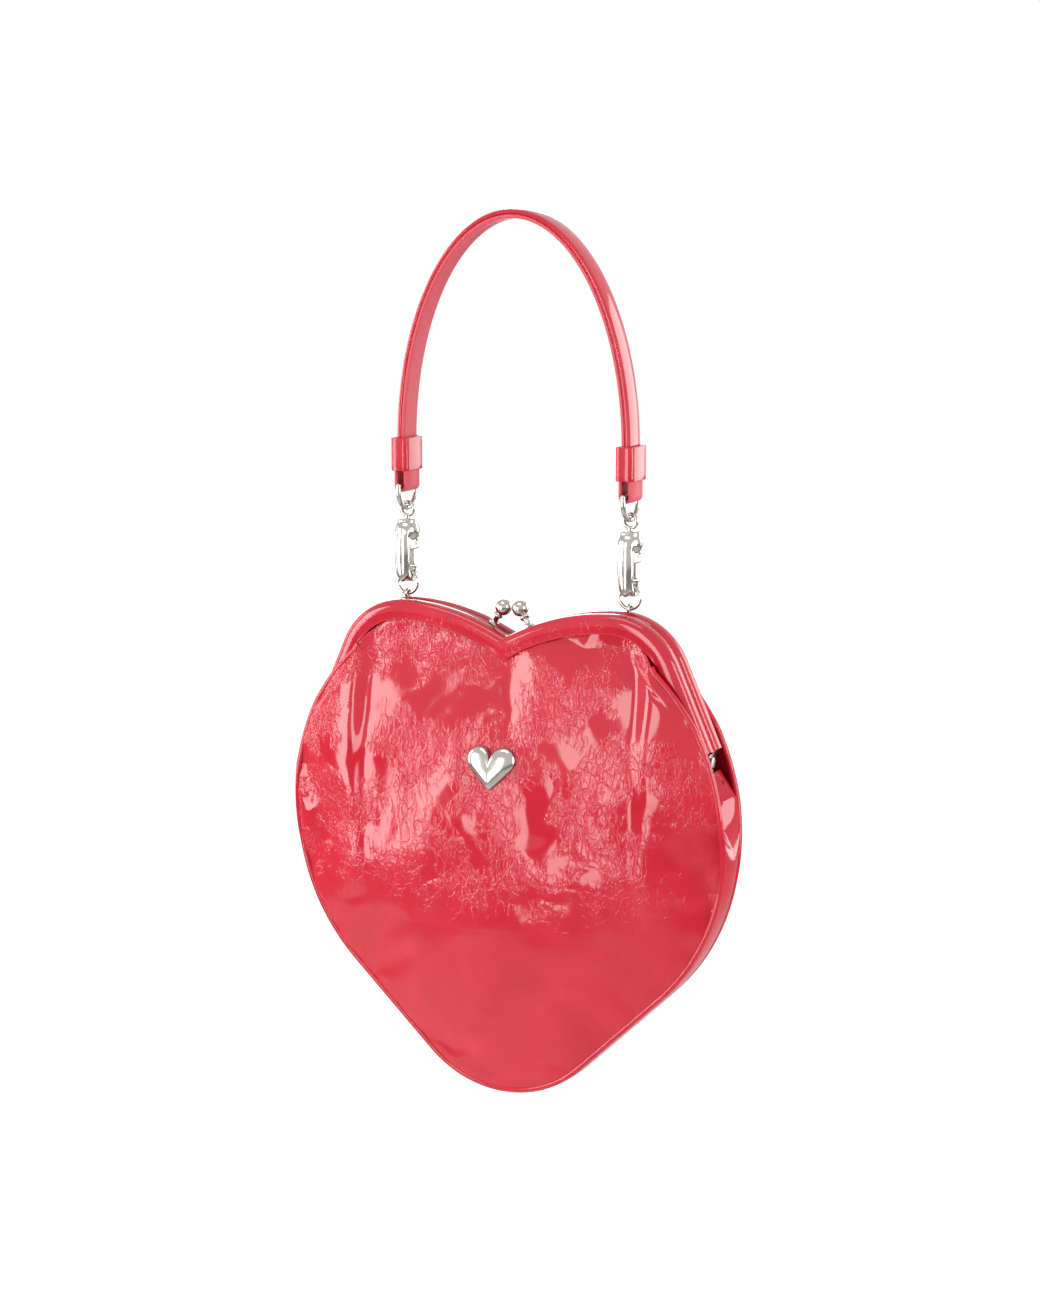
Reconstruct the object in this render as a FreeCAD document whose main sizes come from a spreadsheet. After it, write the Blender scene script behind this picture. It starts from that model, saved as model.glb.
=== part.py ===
"""Heart shaped purse: leather pouch on a two-part snap frame, hung from a strap handle by two snap hooks.

Millimetres, +Z up, front towards -Y. The origin is the underside of the handle at the top of its arch.
"""
import math
import os

import FreeCAD
import Part
import Sketcher

os.makedirs("parts", exist_ok=True)
doc = FreeCAD.newDocument("heart_purse")
Vec = FreeCAD.Vector
Turn = FreeCAD.Rotation
ALONG_X = Turn(Vec(0, 1, 0), 90)
ALONG_Y = Turn(Vec(1, 0, 0), -90)
UPRIGHT = Turn(Vec(1, 0, 0), 90)

sizes = doc.addObject("Spreadsheet::Sheet", "sizes")
DRIVING = [
    # handle strap: half an ellipse standing in the XZ plane
    ("strap_width", 12.0), ("strap_outer_layer", 2.2), ("strap_inner_layer", 1.8), ("arch_height", 94.0),
    ("link_spacing", 102.6), ("link_setback", 4.5),
    # leather keepers and the tabs folded round the ring bars
    ("keeper_height", 14.0), ("keeper_wall", 1.1), ("keeper_lap", 1.5), ("tab_width", 12.6),
    ("tab_length", 18.8), ("tab_leather", 1.4), ("leather_play", 0.3),
    # metal links
    ("dee_wire", 2.2), ("dee_radius", 7.6), ("dee_leg", 2.1), ("eye_wire", 1.7), ("eye_radius", 2.8),
    ("shank_radius", 1.3), ("shank_head_radius", 2.1), ("running_play", 0.06),
    ("collar_radius", 4.2), ("collar_height", 4.5), ("hook_width", 11.0), ("hook_thickness", 6.0),
    ("hook_length", 22.5), ("claw_gap", 5.2), ("claw_floor", 2.95), ("gate_thickness", 3.0),
    ("gate_depth", 2.4), ("gate_pin_radius", 0.75), ("ring_radius", 4.55), ("ring_wire", 1.5),
    ("post_radius", 1.7), ("post_wire", 1.2),
    # the frame: outer edge of its leather cover, seen from the front
    ("lobe_clearance", 1.15), ("lobe_offset", 48.0), ("shoulder_radius", 31.0), ("dip_radius", 95.0),
    ("flank_lean", 24.0), ("flank_length", 38.0), ("hinge_drop", 58.5), ("band_height", 8.0),
    ("half_depth", 8.45), ("half_gap", 0.5), ("cover_leather", 0.9), ("channel_inset", 1.1),
    ("channel_wall", 0.8), ("hinge_plate", 1.0), ("hinge_plate_radius", 3.4), ("rivet_radius", 1.2),
    ("ball_radius", 3.5), ("ball_offset", 3.85), ("stem_radius", 1.1),
    # the leather heart below the frame
    ("heart_half_width", 99.0), ("widest_drop", 93.6), ("heart_height", 207.6), ("side_radius", 90.0),
    ("upper_side_radius", 110.0), ("tip_radius", 50.0), ("panel_leather", 1.2), ("gusset_half_width", 6.3),
    ("wing_stand_off", 11.0), ("pillow_rise", 16.0), ("lining_cloth", 0.5), ("lining_inset", 3.5),
    ("fold_top", 26.0), ("fold_foot", 14.0), ("bib_top", 12.0), ("bib_half_width", 40.0),
    ("stud_size", 11.0), ("stud_height", 3.2), ("stud_drop", 3.5),
    ("pocket_half_width", 38.0), ("pocket_height", 52.0), ("pocket_drop", 6.0),
]
for row, (word, number) in enumerate(DRIVING, start=1):
    sizes.set("A%d" % row, word)
    sizes.set("B%d" % row, str(number))
    sizes.setAlias("B%d" % row, word)
doc.recompute()


def size(word):
    return float(sizes.get(word))


nodes = []


def node(label, thing):
    """Name a finished sub-component; it is written to its own file at the end."""
    thing.Label = label
    nodes.append(thing)
    return thing


def bind(thing, formulas):
    for name, formula in formulas.items():
        thing.setExpression(name, formula)
    return thing


def cylinder(at, turn, **formulas):
    made = bind(doc.addObject("Part::Cylinder", "cylinder"), formulas)
    made.Placement = FreeCAD.Placement(at, turn)
    return made


def block(at, **formulas):
    made = bind(doc.addObject("Part::Box", "block"), formulas)
    made.Placement = FreeCAD.Placement(at, Turn())
    return made


def ball(at, formula):
    made = bind(doc.addObject("Part::Sphere", "ball"), {"Radius": formula})
    made.Placement = FreeCAD.Placement(at, Turn())
    return made


def torus(at, turn, radius, wire):
    made = bind(doc.addObject("Part::Torus", "torus"), {"Radius1": radius, "Radius2": wire + " / 2"})
    made.Placement = FreeCAD.Placement(at, turn)
    return made


def joined(*things):
    made = doc.addObject("Part::MultiFuse", "joined")
    made.Shapes = list(things)
    return made


def cut(base, *tools):
    made = doc.addObject("Part::Cut", "cut")
    made.Base = base
    made.Tool = tools[0] if len(tools) == 1 else joined(*tools)
    return made


def shaped(label, shape):
    made = doc.addObject("Part::Feature", "shaped")
    made.Shape = shape
    return node(label, made)


def on_circle(centre, radius, degrees):
    turn = math.radians(degrees)
    return (centre[0] + radius * math.cos(turn), centre[1] + radius * math.sin(turn))


def sketch(turn, pieces):
    """A closed outline of lines and arcs, each piece given as ("line", from, to) or
    ("arc", centre, radius, from angle, to angle, formula of the radius)."""
    made = doc.addObject("Sketcher::SketchObject", "outline")
    made.Placement = FreeCAD.Placement(Vec(), turn)
    ends = []
    for number, piece in enumerate(pieces):
        if piece[0] == "line":
            start, stop = piece[1], piece[2]
            made.addGeometry(Part.LineSegment(Vec(start[0], start[1], 0), Vec(stop[0], stop[1], 0)), False)
            ends.append((1, 2))
        else:
            centre, radius, begin, finish = piece[1:5]
            whole = Part.Circle(Vec(centre[0], centre[1], 0), Vec(0, 0, 1), radius)
            low, high = min(begin, finish), max(begin, finish)
            made.addGeometry(Part.ArcOfCircle(whole, math.radians(low), math.radians(high)), False)
            ends.append((1, 2) if begin < finish else (2, 1))
    for number in range(len(pieces)):
        following = (number + 1) % len(pieces)
        made.addConstraint(Sketcher.Constraint("Coincident", number, ends[number][1],
                                               following, ends[following][0]))
    for number, piece in enumerate(pieces):
        if piece[0] == "arc":
            where = made.addConstraint(Sketcher.Constraint("Radius", number, piece[2]))
            made.setExpression("Constraints[%d]" % where, piece[5])
    return made


def thick(outline, formula, shift):
    """Extrude an outline evenly to both sides of its plane and move it."""
    made = doc.addObject("Part::Extrusion", "thick")
    made.Base = outline
    made.DirMode = "Normal"
    made.Solid = True
    made.Symmetric = True
    made.setExpression("LengthFwd", formula)
    made.Placement = FreeCAD.Placement(shift, Turn())
    return made


# The handle is two strips of leather laid face to face and bent into one arch.
reach = size("link_spacing") / 2
setback = size("link_setback")
strap_thickness = size("strap_outer_layer") + size("strap_inner_layer")
arch_foot = strap_thickness / 2 - size("arch_height")


def arch_line(away):
    """An ellipse, away from the middle line of the strap by the given formula."""
    made = doc.addObject("Part::Ellipse", "arch_line")
    bind(made, {"MajorRadius": "sizes.arch_height + " + away,
                "MinorRadius": "sizes.link_spacing / 2 + " + away})
    made.Placement = FreeCAD.Placement(Vec(0, setback, arch_foot), UPRIGHT * Turn(Vec(0, 0, 1), 90))
    return made


def strap_layer(label, outside, inside):
    """One layer of the strap: the upper half of the oval between two lines."""
    face = doc.addObject("Part::RuledSurface", "arch_face")
    face.Curve1 = (arch_line(outside), ["Edge1"])
    face.Curve2 = (arch_line(inside), ["Edge1"])
    oval = doc.addObject("Part::Extrusion", "oval")
    oval.Base = face
    oval.DirMode = "Custom"
    oval.Dir = Vec(0, 1, 0)
    oval.Symmetric = True
    oval.setExpression("LengthFwd", "sizes.strap_width")
    corner = Vec(-size("link_spacing"), setback - size("strap_width"), arch_foot - 2 * size("arch_height"))
    lower_half = block(corner, Length="2 * sizes.link_spacing", Width="2 * sizes.strap_width",
                       Height="2 * sizes.arch_height")
    return node(label, cut(oval, lower_half))


HALF_STRAP = "(sizes.strap_outer_layer + sizes.strap_inner_layer) / 2"
strap_layer("handle_strap", HALF_STRAP, HALF_STRAP + " - sizes.strap_outer_layer")
strap_layer("handle_strap_lining", HALF_STRAP + " - sizes.strap_outer_layer", "-" + HALF_STRAP)

# Heights of the hanging links, worked downwards from the foot of the arch.
keeper_top = arch_foot + size("keeper_lap")
dee_bar = arch_foot - size("tab_length")
dee_turn = dee_bar - size("dee_leg")
dee_bottom = dee_turn - size("dee_radius")
eye_top = dee_bottom + size("dee_wire") / 2 + size("leather_play") + size("eye_wire") / 2
eye_centre = eye_top - size("eye_radius")
collar_top = eye_centre - size("eye_radius") - size("eye_wire") / 2 - 0.3
hook_top = collar_top - size("collar_height")
hook_bottom = hook_top - size("hook_length")
ring_top = hook_bottom + size("claw_floor") + 0.35 + size("ring_wire") / 2
ring_centre = ring_top - size("ring_radius")
ring_bottom = ring_centre - size("ring_radius")
lobe_top = ring_bottom - size("lobe_clearance")

for side, name in ((-1, "left"), (1, "right")):
    x = side * reach

    # Leather keeper: a closed sleeve round the strap end and the tab.
    bore_x = size("dee_wire") + 2 * size("leather_play") + 2 * size("tab_leather") + 0.4
    bore_y = max(size("strap_width"), size("tab_width")) + 0.7
    wall = size("keeper_wall")
    keeper_foot = keeper_top - size("keeper_height")
    hollow_length = "sizes.dee_wire + 2 * (sizes.leather_play + sizes.tab_leather) + 0.4"
    sleeve = block(Vec(x - bore_x / 2 - wall, setback - bore_y / 2 - wall, keeper_foot),
                   Length=hollow_length + " + 2 * sizes.keeper_wall",
                   Width="%.3f + 2 * sizes.keeper_wall" % bore_y, Height="sizes.keeper_height")
    hollow = block(Vec(x - bore_x / 2, setback - bore_y / 2, keeper_foot - 1), Length=hollow_length,
                   Width="%.3f" % bore_y, Height="sizes.keeper_height + 2")
    node(name + "_keeper", cut(sleeve, hollow))

    # Tab: one strip folded into a U round the straight bar of the D-ring.
    inner = size("dee_wire") / 2 + size("leather_play")
    outer = inner + size("tab_leather")
    tab_top = arch_foot - 0.4
    fold = sketch(UPRIGHT, [
        ("line", (x - outer, tab_top), (x - outer, dee_bar)),
        ("arc", (x, dee_bar), outer, 180, 360, "sizes.dee_wire / 2 + sizes.leather_play + sizes.tab_leather"),
        ("line", (x + outer, dee_bar), (x + outer, tab_top)),
        ("line", (x + outer, tab_top), (x + inner, tab_top)),
        ("line", (x + inner, tab_top), (x + inner, dee_bar)),
        ("arc", (x, dee_bar), inner, 360, 180, "sizes.dee_wire / 2 + sizes.leather_play"),
        ("line", (x - inner, dee_bar), (x - inner, tab_top)),
        ("line", (x - inner, tab_top), (x - outer, tab_top)),
    ])
    node(name + "_tab", thick(fold, "sizes.tab_width", Vec(0, setback, 0)))

    # D-ring of round wire: bar in the tab, two short legs and half a ring below.
    bow = torus(Vec(x, setback, dee_turn), Turn(Vec(0, 1, 0), 90) * Turn(Vec(0, 0, 1), -90),
                "sizes.dee_radius", "sizes.dee_wire")
    bow.Angle3 = 180
    dee_pieces = [bow, cylinder(Vec(x, setback - size("dee_radius"), dee_bar), ALONG_Y,
                                Radius="sizes.dee_wire / 2", Height="2 * sizes.dee_radius")]
    for end in (-1, 1):
        corner = setback + end * size("dee_radius")
        dee_pieces.append(cylinder(Vec(x, corner, dee_turn), Turn(),
                                   Radius="sizes.dee_wire / 2", Height="sizes.dee_leg"))
        dee_pieces.append(ball(Vec(x, corner, dee_bar), "sizes.dee_wire / 2"))
    node(name + "_d_ring", joined(*dee_pieces))

    # Swivel eye: a small loop on a shank whose end is spread inside the hook.
    shank_foot = hook_top - 1.5
    eye_loop = torus(Vec(x, setback, eye_centre), UPRIGHT, "sizes.eye_radius", "sizes.eye_wire")
    shank_top = eye_centre - size("eye_radius")
    shank = cylinder(Vec(x, setback, shank_foot), Turn(), Radius="sizes.shank_radius",
                     Height="%.4f" % (shank_top - shank_foot))
    spread = cylinder(Vec(x, setback, shank_foot - 1.2), Turn(), Radius="sizes.shank_head_radius", Height="1.2")
    node(name + "_swivel_eye", joined(eye_loop, shank, spread))

    # Snap hook: collar, block with a fork for the gate, spine in front, claw below.
    half_width = size("hook_width") / 2
    half_claw = size("claw_gap") / 2
    mid = size("hook_thickness") / 2
    claw_centre = hook_bottom + half_width
    opening_low = hook_bottom + size("claw_floor") + half_claw
    opening_top = hook_bottom + 0.6 * size("hook_length")
    pivot = Vec(x, setback + 3.2, hook_bottom + 0.6 * size("hook_length") + 2.9)
    slot = size("gate_thickness") / 2 + 0.2
    solid_hook = joined(
        block(Vec(x - mid, setback - half_width, claw_centre), Length="sizes.hook_thickness",
              Width="sizes.hook_width", Height="sizes.hook_length - sizes.hook_width / 2"),
        cylinder(Vec(x - mid, setback, claw_centre), ALONG_X, Radius="sizes.hook_width / 2",
                 Height="sizes.hook_thickness"),
        cylinder(Vec(x, setback, hook_top - 0.5), Turn(), Radius="sizes.collar_radius",
                 Height="sizes.collar_height + 0.5"))
    claw_hollow = joined(
        block(Vec(x - mid - 1, setback - half_claw, opening_low), Length="sizes.hook_thickness + 2",
              Width="sizes.claw_gap", Height="%.3f" % (opening_top - opening_low)),
        cylinder(Vec(x - mid - 1, setback, opening_low), ALONG_X, Radius="sizes.claw_gap / 2",
                 Height="sizes.hook_thickness + 2"),
        block(Vec(x - mid - 1, setback, hook_bottom + 6.2), Length="sizes.hook_thickness + 2",
              Width="sizes.hook_width", Height="%.3f" % (opening_top - hook_bottom - 6.2)))
    fork = block(Vec(x - slot, setback + 0.6, opening_top - 0.5), Length="sizes.gate_thickness + 0.4",
                 Width="sizes.hook_width", Height="5.3")
    head_window = block(Vec(x - mid - 1, setback - 2.9, shank_foot - 1.9), Length="sizes.hook_thickness + 2",
                        Width="5.8", Height="2.1")
    shank_bore = cylinder(Vec(x, setback, shank_foot - 0.5), Turn(),
                          Radius="sizes.shank_radius + sizes.running_play", Height="sizes.collar_height + 3")
    pin_bore = cylinder(Vec(x - mid - 1, pivot.y, pivot.z), ALONG_X, Radius="sizes.gate_pin_radius + 0.02",
                        Height="sizes.hook_thickness + 2")
    saddle = torus(Vec(x, setback, ring_centre), UPRIGHT, "sizes.ring_radius", "(sizes.ring_wire + 0.8)")
    node(name + "_hook_body", cut(solid_hook, claw_hollow, fork, head_window, shank_bore, pin_bore, saddle))
    node(name + "_gate_pin", cylinder(Vec(x - mid, pivot.y, pivot.z), ALONG_X, Radius="sizes.gate_pin_radius",
                                      Height="sizes.hook_thickness"))

    # Gate: a flat lever on the pin with a round thumb ear outside the hook.
    gate_low = hook_bottom + 6.5
    gate_thin = size("gate_thickness") / 2
    lever = joined(
        block(Vec(x - gate_thin, setback + 2.8, gate_low), Length="sizes.gate_thickness",
              Width="sizes.gate_depth", Height="%.3f" % (pivot.z - gate_low)),
        cylinder(Vec(x - gate_thin, pivot.y, pivot.z), ALONG_X, Radius="1.5", Height="sizes.gate_thickness"),
        block(Vec(x - gate_thin, pivot.y, pivot.z - 1), Length="sizes.gate_thickness", Width="3", Height="2"),
        cylinder(Vec(x - gate_thin, pivot.y + 3.4, pivot.z), ALONG_X, Radius="2.1",
                 Height="sizes.gate_thickness"))
    node(name + "_hook_gate", cut(lever, cylinder(Vec(x - gate_thin - 1, pivot.y, pivot.z), ALONG_X,
                                                  Radius="sizes.gate_pin_radius + sizes.running_play",
                                                  Height="sizes.gate_thickness + 2")))

    # Gate spring: a bowed leaf between the end of the fork and the gate.
    leaf_radius = 6.0
    leaf_centre = Vec(x - 1.3, setback + 0.75 + leaf_radius, opening_top + 2.0)
    leaf = cut(cylinder(leaf_centre, ALONG_X, Radius="%.2f" % leaf_radius, Height="2.6"),
               cylinder(leaf_centre - Vec(1, 0, 0), ALONG_X, Radius="%.2f" % (leaf_radius - 0.35),
                        Height="4.6"))
    trimmed = doc.addObject("Part::Common", "trimmed")
    trimmed.Base = leaf
    trimmed.Tool = block(Vec(x - 2, setback + 0.6, opening_top + 0.2), Length="4", Width="1.2", Height="3.6")
    node(name + "_gate_spring", trimmed)

    # Round ring between the hook and the frame.
    node(name + "_frame_ring", torus(Vec(x, setback, ring_centre), UPRIGHT,
                                     "sizes.ring_radius", "sizes.ring_wire"))


# The snap frame: two equal halves along the top of the heart, hinged at their lower ends.
lean = size("flank_lean")
shoulder = (size("lobe_offset"), lobe_top - size("shoulder_radius"))
dip = (size("lobe_offset"), lobe_top - size("dip_radius"))
hinge_z = lobe_top - size("hinge_drop")
half_middle = (size("half_depth") + size("half_gap")) / 2


def flank_point(inward, along):
    """A point of the straight flank: inward from the outer edge, along from the shoulder."""
    start = on_circle(shoulder, size("shoulder_radius") - inward, lean)
    turn = math.radians(lean)
    return (start[0] + along * math.sin(turn), start[1] - along * math.cos(turn))


def edge_height(across, inward=0.0):
    """Height of the frame edge at a distance from the middle of the heart, up to the lobe top."""
    centre, radius = (dip, "dip_radius") if across < size("lobe_offset") else (shoulder, "shoulder_radius")
    gone = size(radius) - inward
    return centre[1] + math.sqrt(gone * gone - (across - centre[0]) ** 2)


def band(near, far, along):
    """Outline of a strip of the frame between two distances inward from its outer edge."""
    def half(inward, mirror):
        low = on_circle(shoulder, size("shoulder_radius") - inward, lean)
        foot = flank_point(inward, along)
        turn = math.degrees(math.acos(-dip[0] / (size("dip_radius") - inward)))
        flip = (lambda a: 180 - a) if mirror else (lambda a: a)
        sign = -1 if mirror else 1
        return [("arc", (sign * dip[0], dip[1]), size("dip_radius") - inward, flip(turn), flip(90),
                 "sizes.dip_radius - %.4f" % inward),
                ("arc", (sign * shoulder[0], shoulder[1]), size("shoulder_radius") - inward, flip(90),
                 flip(lean), "sizes.shoulder_radius - %.4f" % inward),
                ("line", (sign * low[0], low[1]), (sign * foot[0], foot[1]))]

    def backwards(pieces):
        back = []
        for piece in reversed(pieces):
            if piece[0] == "line":
                back.append(("line", piece[2], piece[1]))
            else:
                back.append(("arc", piece[1], piece[2], piece[4], piece[3], piece[5]))
        return back

    near_foot, far_foot = flank_point(near, along), flank_point(far, along)
    return sketch(UPRIGHT, half(near, False) + [("line", near_foot, far_foot)] + backwards(half(far, False))
                  + half(far, True) + [("line", (-far_foot[0], far_foot[1]), (-near_foot[0], near_foot[1]))]
                  + backwards(half(near, True)))


flank = size("flank_length")
inset = size("channel_inset")
channel_far = size("band_height") - 0.4
channel_depth = "(sizes.half_depth - 2 * sizes.channel_inset)"
ball_height = lobe_top - 1.2
stem_foot_across = 9.7
plate_mid = flank_point(inset + 2.6, flank)[0]

for facing, name in ((-1, "front"), (1, "rear")):
    middle = Vec(0, facing * half_middle, 0)

    # Steel channel, open towards the bag, with a drilled plate at each lower end for the hinge rivet.
    outside = thick(band(inset, channel_far, flank), channel_depth, middle)
    inside = thick(band(inset + size("channel_wall"), channel_far + 1.2, flank + 1.5),
                   channel_depth + " - 2 * sizes.channel_wall", middle)
    channel = cut(outside, inside)
    plates = []
    for side in (-1, 1):
        # The rear plate lies outside the front one.
        near = plate_mid + (0.15 if facing > 0 else -0.15 - size("hinge_plate"))
        start = side * near if side > 0 else side * (near + size("hinge_plate"))
        disc = cylinder(Vec(start, 0, hinge_z), ALONG_X, Radius="sizes.hinge_plate_radius",
                        Height="sizes.hinge_plate")
        arm_low = 0.2 if facing > 0 else -half_middle - size("half_depth") / 2 + inset
        arm = block(Vec(start, arm_low, hinge_z), Length="sizes.hinge_plate",
                    Width="%.4f" % (half_middle + size("half_depth") / 2 - inset - 0.2),
                    Height="%.4f" % (size("hinge_plate_radius") + 3.8))
        # Above the disc the arm keeps to its own half so that the other half can turn past it.
        relief_low = hinge_z + size("hinge_plate_radius") * 0.99
        relief = block(Vec(start - 1, -1.4 if facing < 0 else -2.0, relief_low),
                       Length="sizes.hinge_plate + 2", Width="3.4", Height="12")
        plates += [disc, cut(arm, relief)]
    bores = [cylinder(Vec(-plate_mid - 10, 0, hinge_z), ALONG_X, Height="%.4f" % (2 * plate_mid + 20),
                      Radius="sizes.rivet_radius + " + ("0.02" if facing > 0 else "sizes.running_play"))]

    # Knob of the kiss lock: ball on a slanting stem, the rear one left, the front one right of the dip.
    hand = -1 if facing > 0 else 1
    foot = Vec(hand * stem_foot_across, facing * 3.0, edge_height(stem_foot_across))
    top = Vec(hand * size("ball_offset"), 0, ball_height)
    slant = top - foot
    into = foot - slant * (2.4 / slant.Length)
    stem_turn = Turn(Vec(0, 0, 1), slant)
    stem_length = slant.Length + 2.4
    stem = cylinder(into, stem_turn, Radius="sizes.stem_radius", Height="%.4f" % stem_length)
    neck = cylinder(top - slant * (4.6 / slant.Length), stem_turn, Radius="sizes.stem_radius + 0.8",
                    Height="1.2")
    node(name + "_lock_ball", joined(stem, neck, ball(top, "sizes.ball_radius")))
    stem_bore = cylinder(into - slant * 0.1, stem_turn, Radius="sizes.stem_radius + 0.05",
                         Height="%.4f" % (stem_length - 2))
    openings = [stem_bore]

    if facing > 0:
        for side, word in ((-1, "left"), (1, "right")):
            # Post: a loop for the ring on a shank spread below the web of the channel.
            loop_z = ring_bottom + size("ring_wire") / 2 + 0.35 - size("post_radius") + size("post_wire") / 2
            web_under = edge_height(reach, inset + size("channel_wall"))
            loop = torus(Vec(side * reach, setback, loop_z), ALONG_X, "sizes.post_radius", "sizes.post_wire")
            shaft = cylinder(Vec(side * reach, setback, web_under - 1.1), Turn(), Radius="0.95",
                             Height="%.4f" % (loop_z - size("post_radius") - web_under + 1.1))
            under = Vec(side * reach, setback, web_under)
            foot_disc = cylinder(under - Vec(0, 0, 1.2), Turn(), Radius="1.8", Height="0.7")
            node(word + "_ring_post", joined(loop, shaft, foot_disc))
            openings.append(cylinder(under - Vec(0, 0, 0.6), Turn(), Radius="1.0", Height="6"))
            # The web is faced flat for the spread foot where it lies on a slope.
            openings.append(cylinder(under - Vec(0, 0, 2.0), Turn(), Radius="2.0", Height="1.6"))
        eyelet = size("post_radius") + 0.9
        eyelet_low = min(edge_height(reach + way * eyelet, size("cover_leather")) for way in (-1, 1)) - 0.3
        eyelets = [cylinder(Vec(side * reach, setback, eyelet_low), Turn(), Radius="sizes.post_radius + 0.9",
                            Height="%.4f" % (lobe_top + 2 - eyelet_low)) for side in (-1, 1)]
    else:
        eyelets = []
    node(name + "_frame_channel", cut(joined(channel, *plates), *(bores + openings)))

    # Leather drawn round the channel, its edges ending at the mouth of the channel.
    leather_out = thick(band(0.0, size("band_height"), flank), "sizes.half_depth", middle)
    leather_in = thick(band(size("cover_leather"), size("band_height") + 1.0, flank + 1.5),
                       "sizes.half_depth - 2 * sizes.cover_leather", middle)
    node(name + "_frame_cover", cut(cut(leather_out, leather_in), *([stem_bore] + eyelets)))

    # Packing: edges of panel and lining with paper twine, pressed into the channel.
    twine = band(inset + size("channel_wall") + 1.8, size("band_height") - 0.1, flank - 9.0)
    node(name + "_packing", thick(twine, channel_depth + " - 2 * sizes.channel_wall - 0.3", middle))

# Hinge rivets: through both plates, headed on the inside and the outside.
for side, name in ((-1, "left"), (1, "right")):
    low = plate_mid - 0.15 - size("hinge_plate") - 0.15
    span = 2 * size("hinge_plate") + 0.6
    start = low if side > 0 else -low - span
    shank = cylinder(Vec(start - 0.4, 0, hinge_z), ALONG_X, Radius="sizes.rivet_radius",
                     Height="%.4f" % (span + 0.8))
    heads = [cylinder(Vec(start - 0.8, 0, hinge_z), ALONG_X, Radius="sizes.rivet_radius + 0.9", Height="0.8"),
             cylinder(Vec(start + span, 0, hinge_z), ALONG_X, Radius="sizes.rivet_radius + 0.9", Height="0.8")]
    node(name + "_hinge_rivet", joined(shank, *heads))


# The leather heart: panels in front and behind, a narrow gusset round the lower edge, a cloth lining.
half_wide = size("heart_half_width")
widest_z = lobe_top - size("widest_drop")
tip_z = lobe_top - size("heart_height")
side_centre = (half_wide - size("side_radius"), widest_z)
tip_centre = (0.0, tip_z + size("tip_radius"))
upper_centre = (half_wide - size("upper_side_radius"), widest_z)
rise = (side_centre[0] - tip_centre[0], side_centre[1] - tip_centre[1])
flank_turn = math.degrees(math.atan2(rise[1], rise[0]) - math.acos(
    (size("tip_radius") - size("side_radius")) / math.hypot(rise[0], rise[1])))
WING_TURN = 25.0
mouth_across = flank_point(size("band_height"), 0)[0]


def low_edge(x, inward):
    """Height of the lower edge of the heart at x, drawn in by a distance."""
    tip, side = size("tip_radius") - inward, size("side_radius") - inward
    tip_end = on_circle(tip_centre, tip, flank_turn)
    side_end = on_circle(side_centre, side, flank_turn)
    if x <= tip_end[0]:
        return tip_centre[1] - math.sqrt(tip * tip - x * x)
    if x <= side_end[0]:
        part = (x - tip_end[0]) / (side_end[0] - tip_end[0])
        return tip_end[1] + part * (side_end[1] - tip_end[1])
    return side_centre[1] - math.sqrt(max(side * side - (x - side_centre[0]) ** 2, 0.0))


def panel_top(x):
    """Upper edge of a leather panel: below the frame band, then the free edge of the wing."""
    grip = mouth_across - 0.2
    if x <= grip:
        return edge_height(x, size("band_height")) - 0.6
    radius = size("upper_side_radius")
    start = on_circle(upper_centre, radius, WING_TURN)
    if x <= start[0]:
        grip_height = edge_height(grip, size("band_height")) - 0.6
        return start[1] + (start[0] - x) / (start[0] - grip) * (grip_height - start[1])
    return widest_z + math.sqrt(max(radius * radius - (x - upper_centre[0]) ** 2, 0.0))


def lining_top(x):
    """Upper edge of the lining: inside the frame opening down to the hinge, then out to the side."""
    if x <= mouth_across - 0.8:
        return edge_height(x, size("band_height")) - 0.8
    bend = flank_point(size("band_height") + 0.6, size("flank_length") + 3.0)
    if x <= bend[0]:
        start = edge_height(mouth_across - 0.8, size("band_height")) - 0.8
        return start + (x - mouth_across + 0.8) / (bend[0] - mouth_across + 0.8) * (bend[1] - start)
    part = (x - bend[0]) / (half_wide - size("lining_inset") - bend[0])
    return widest_z + (bend[1] - widest_z) * math.sqrt(max(1.0 - part * part, 0.0))


panel_low = (lambda x: low_edge(x, 0.0))
lining_low = (lambda x: low_edge(x, size("lining_inset")))
lining_wide = half_wide - size("lining_inset")


def pillow(x, up, low, high, width, height):
    """How far a stuffed sheet stands out, flattening towards the edge where the frame grips it."""
    z = low(x) + up * (high(x) - low(x))
    climb = (z - low(x)) / (lobe_top - 6.0 - low(x))
    round_off = max(1.0 - (x / width) ** 2, 0.0) ** 0.8
    return height * round_off * math.sin(math.pi * climb) * (1.0 - math.exp((z - high(x)) / 10.0))


def panel_stand(x, up):
    """Distance of a panel's outer face from the middle plane, up running 0 to 1 from seam to frame."""
    seam = size("gusset_half_width") + 0.2 + size("panel_leather")
    ease = min(max((x - mouth_across + 9.5) / 9.0, 0.0), 1.0)
    head = 6.6 + (size("wing_stand_off") - 6.6) * ease * ease * (3 - 2 * ease)
    return seam + (head - seam) * up + pillow(x, up, panel_low, panel_top, half_wide, size("pillow_rise"))


def lining_stand(x, up):
    seam = size("gusset_half_width") - 1.1
    swell = pillow(x, up, lining_low, lining_top, lining_wide, size("pillow_rise") - 2.2)
    return seam + (4.6 - seam) * up + swell


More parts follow.
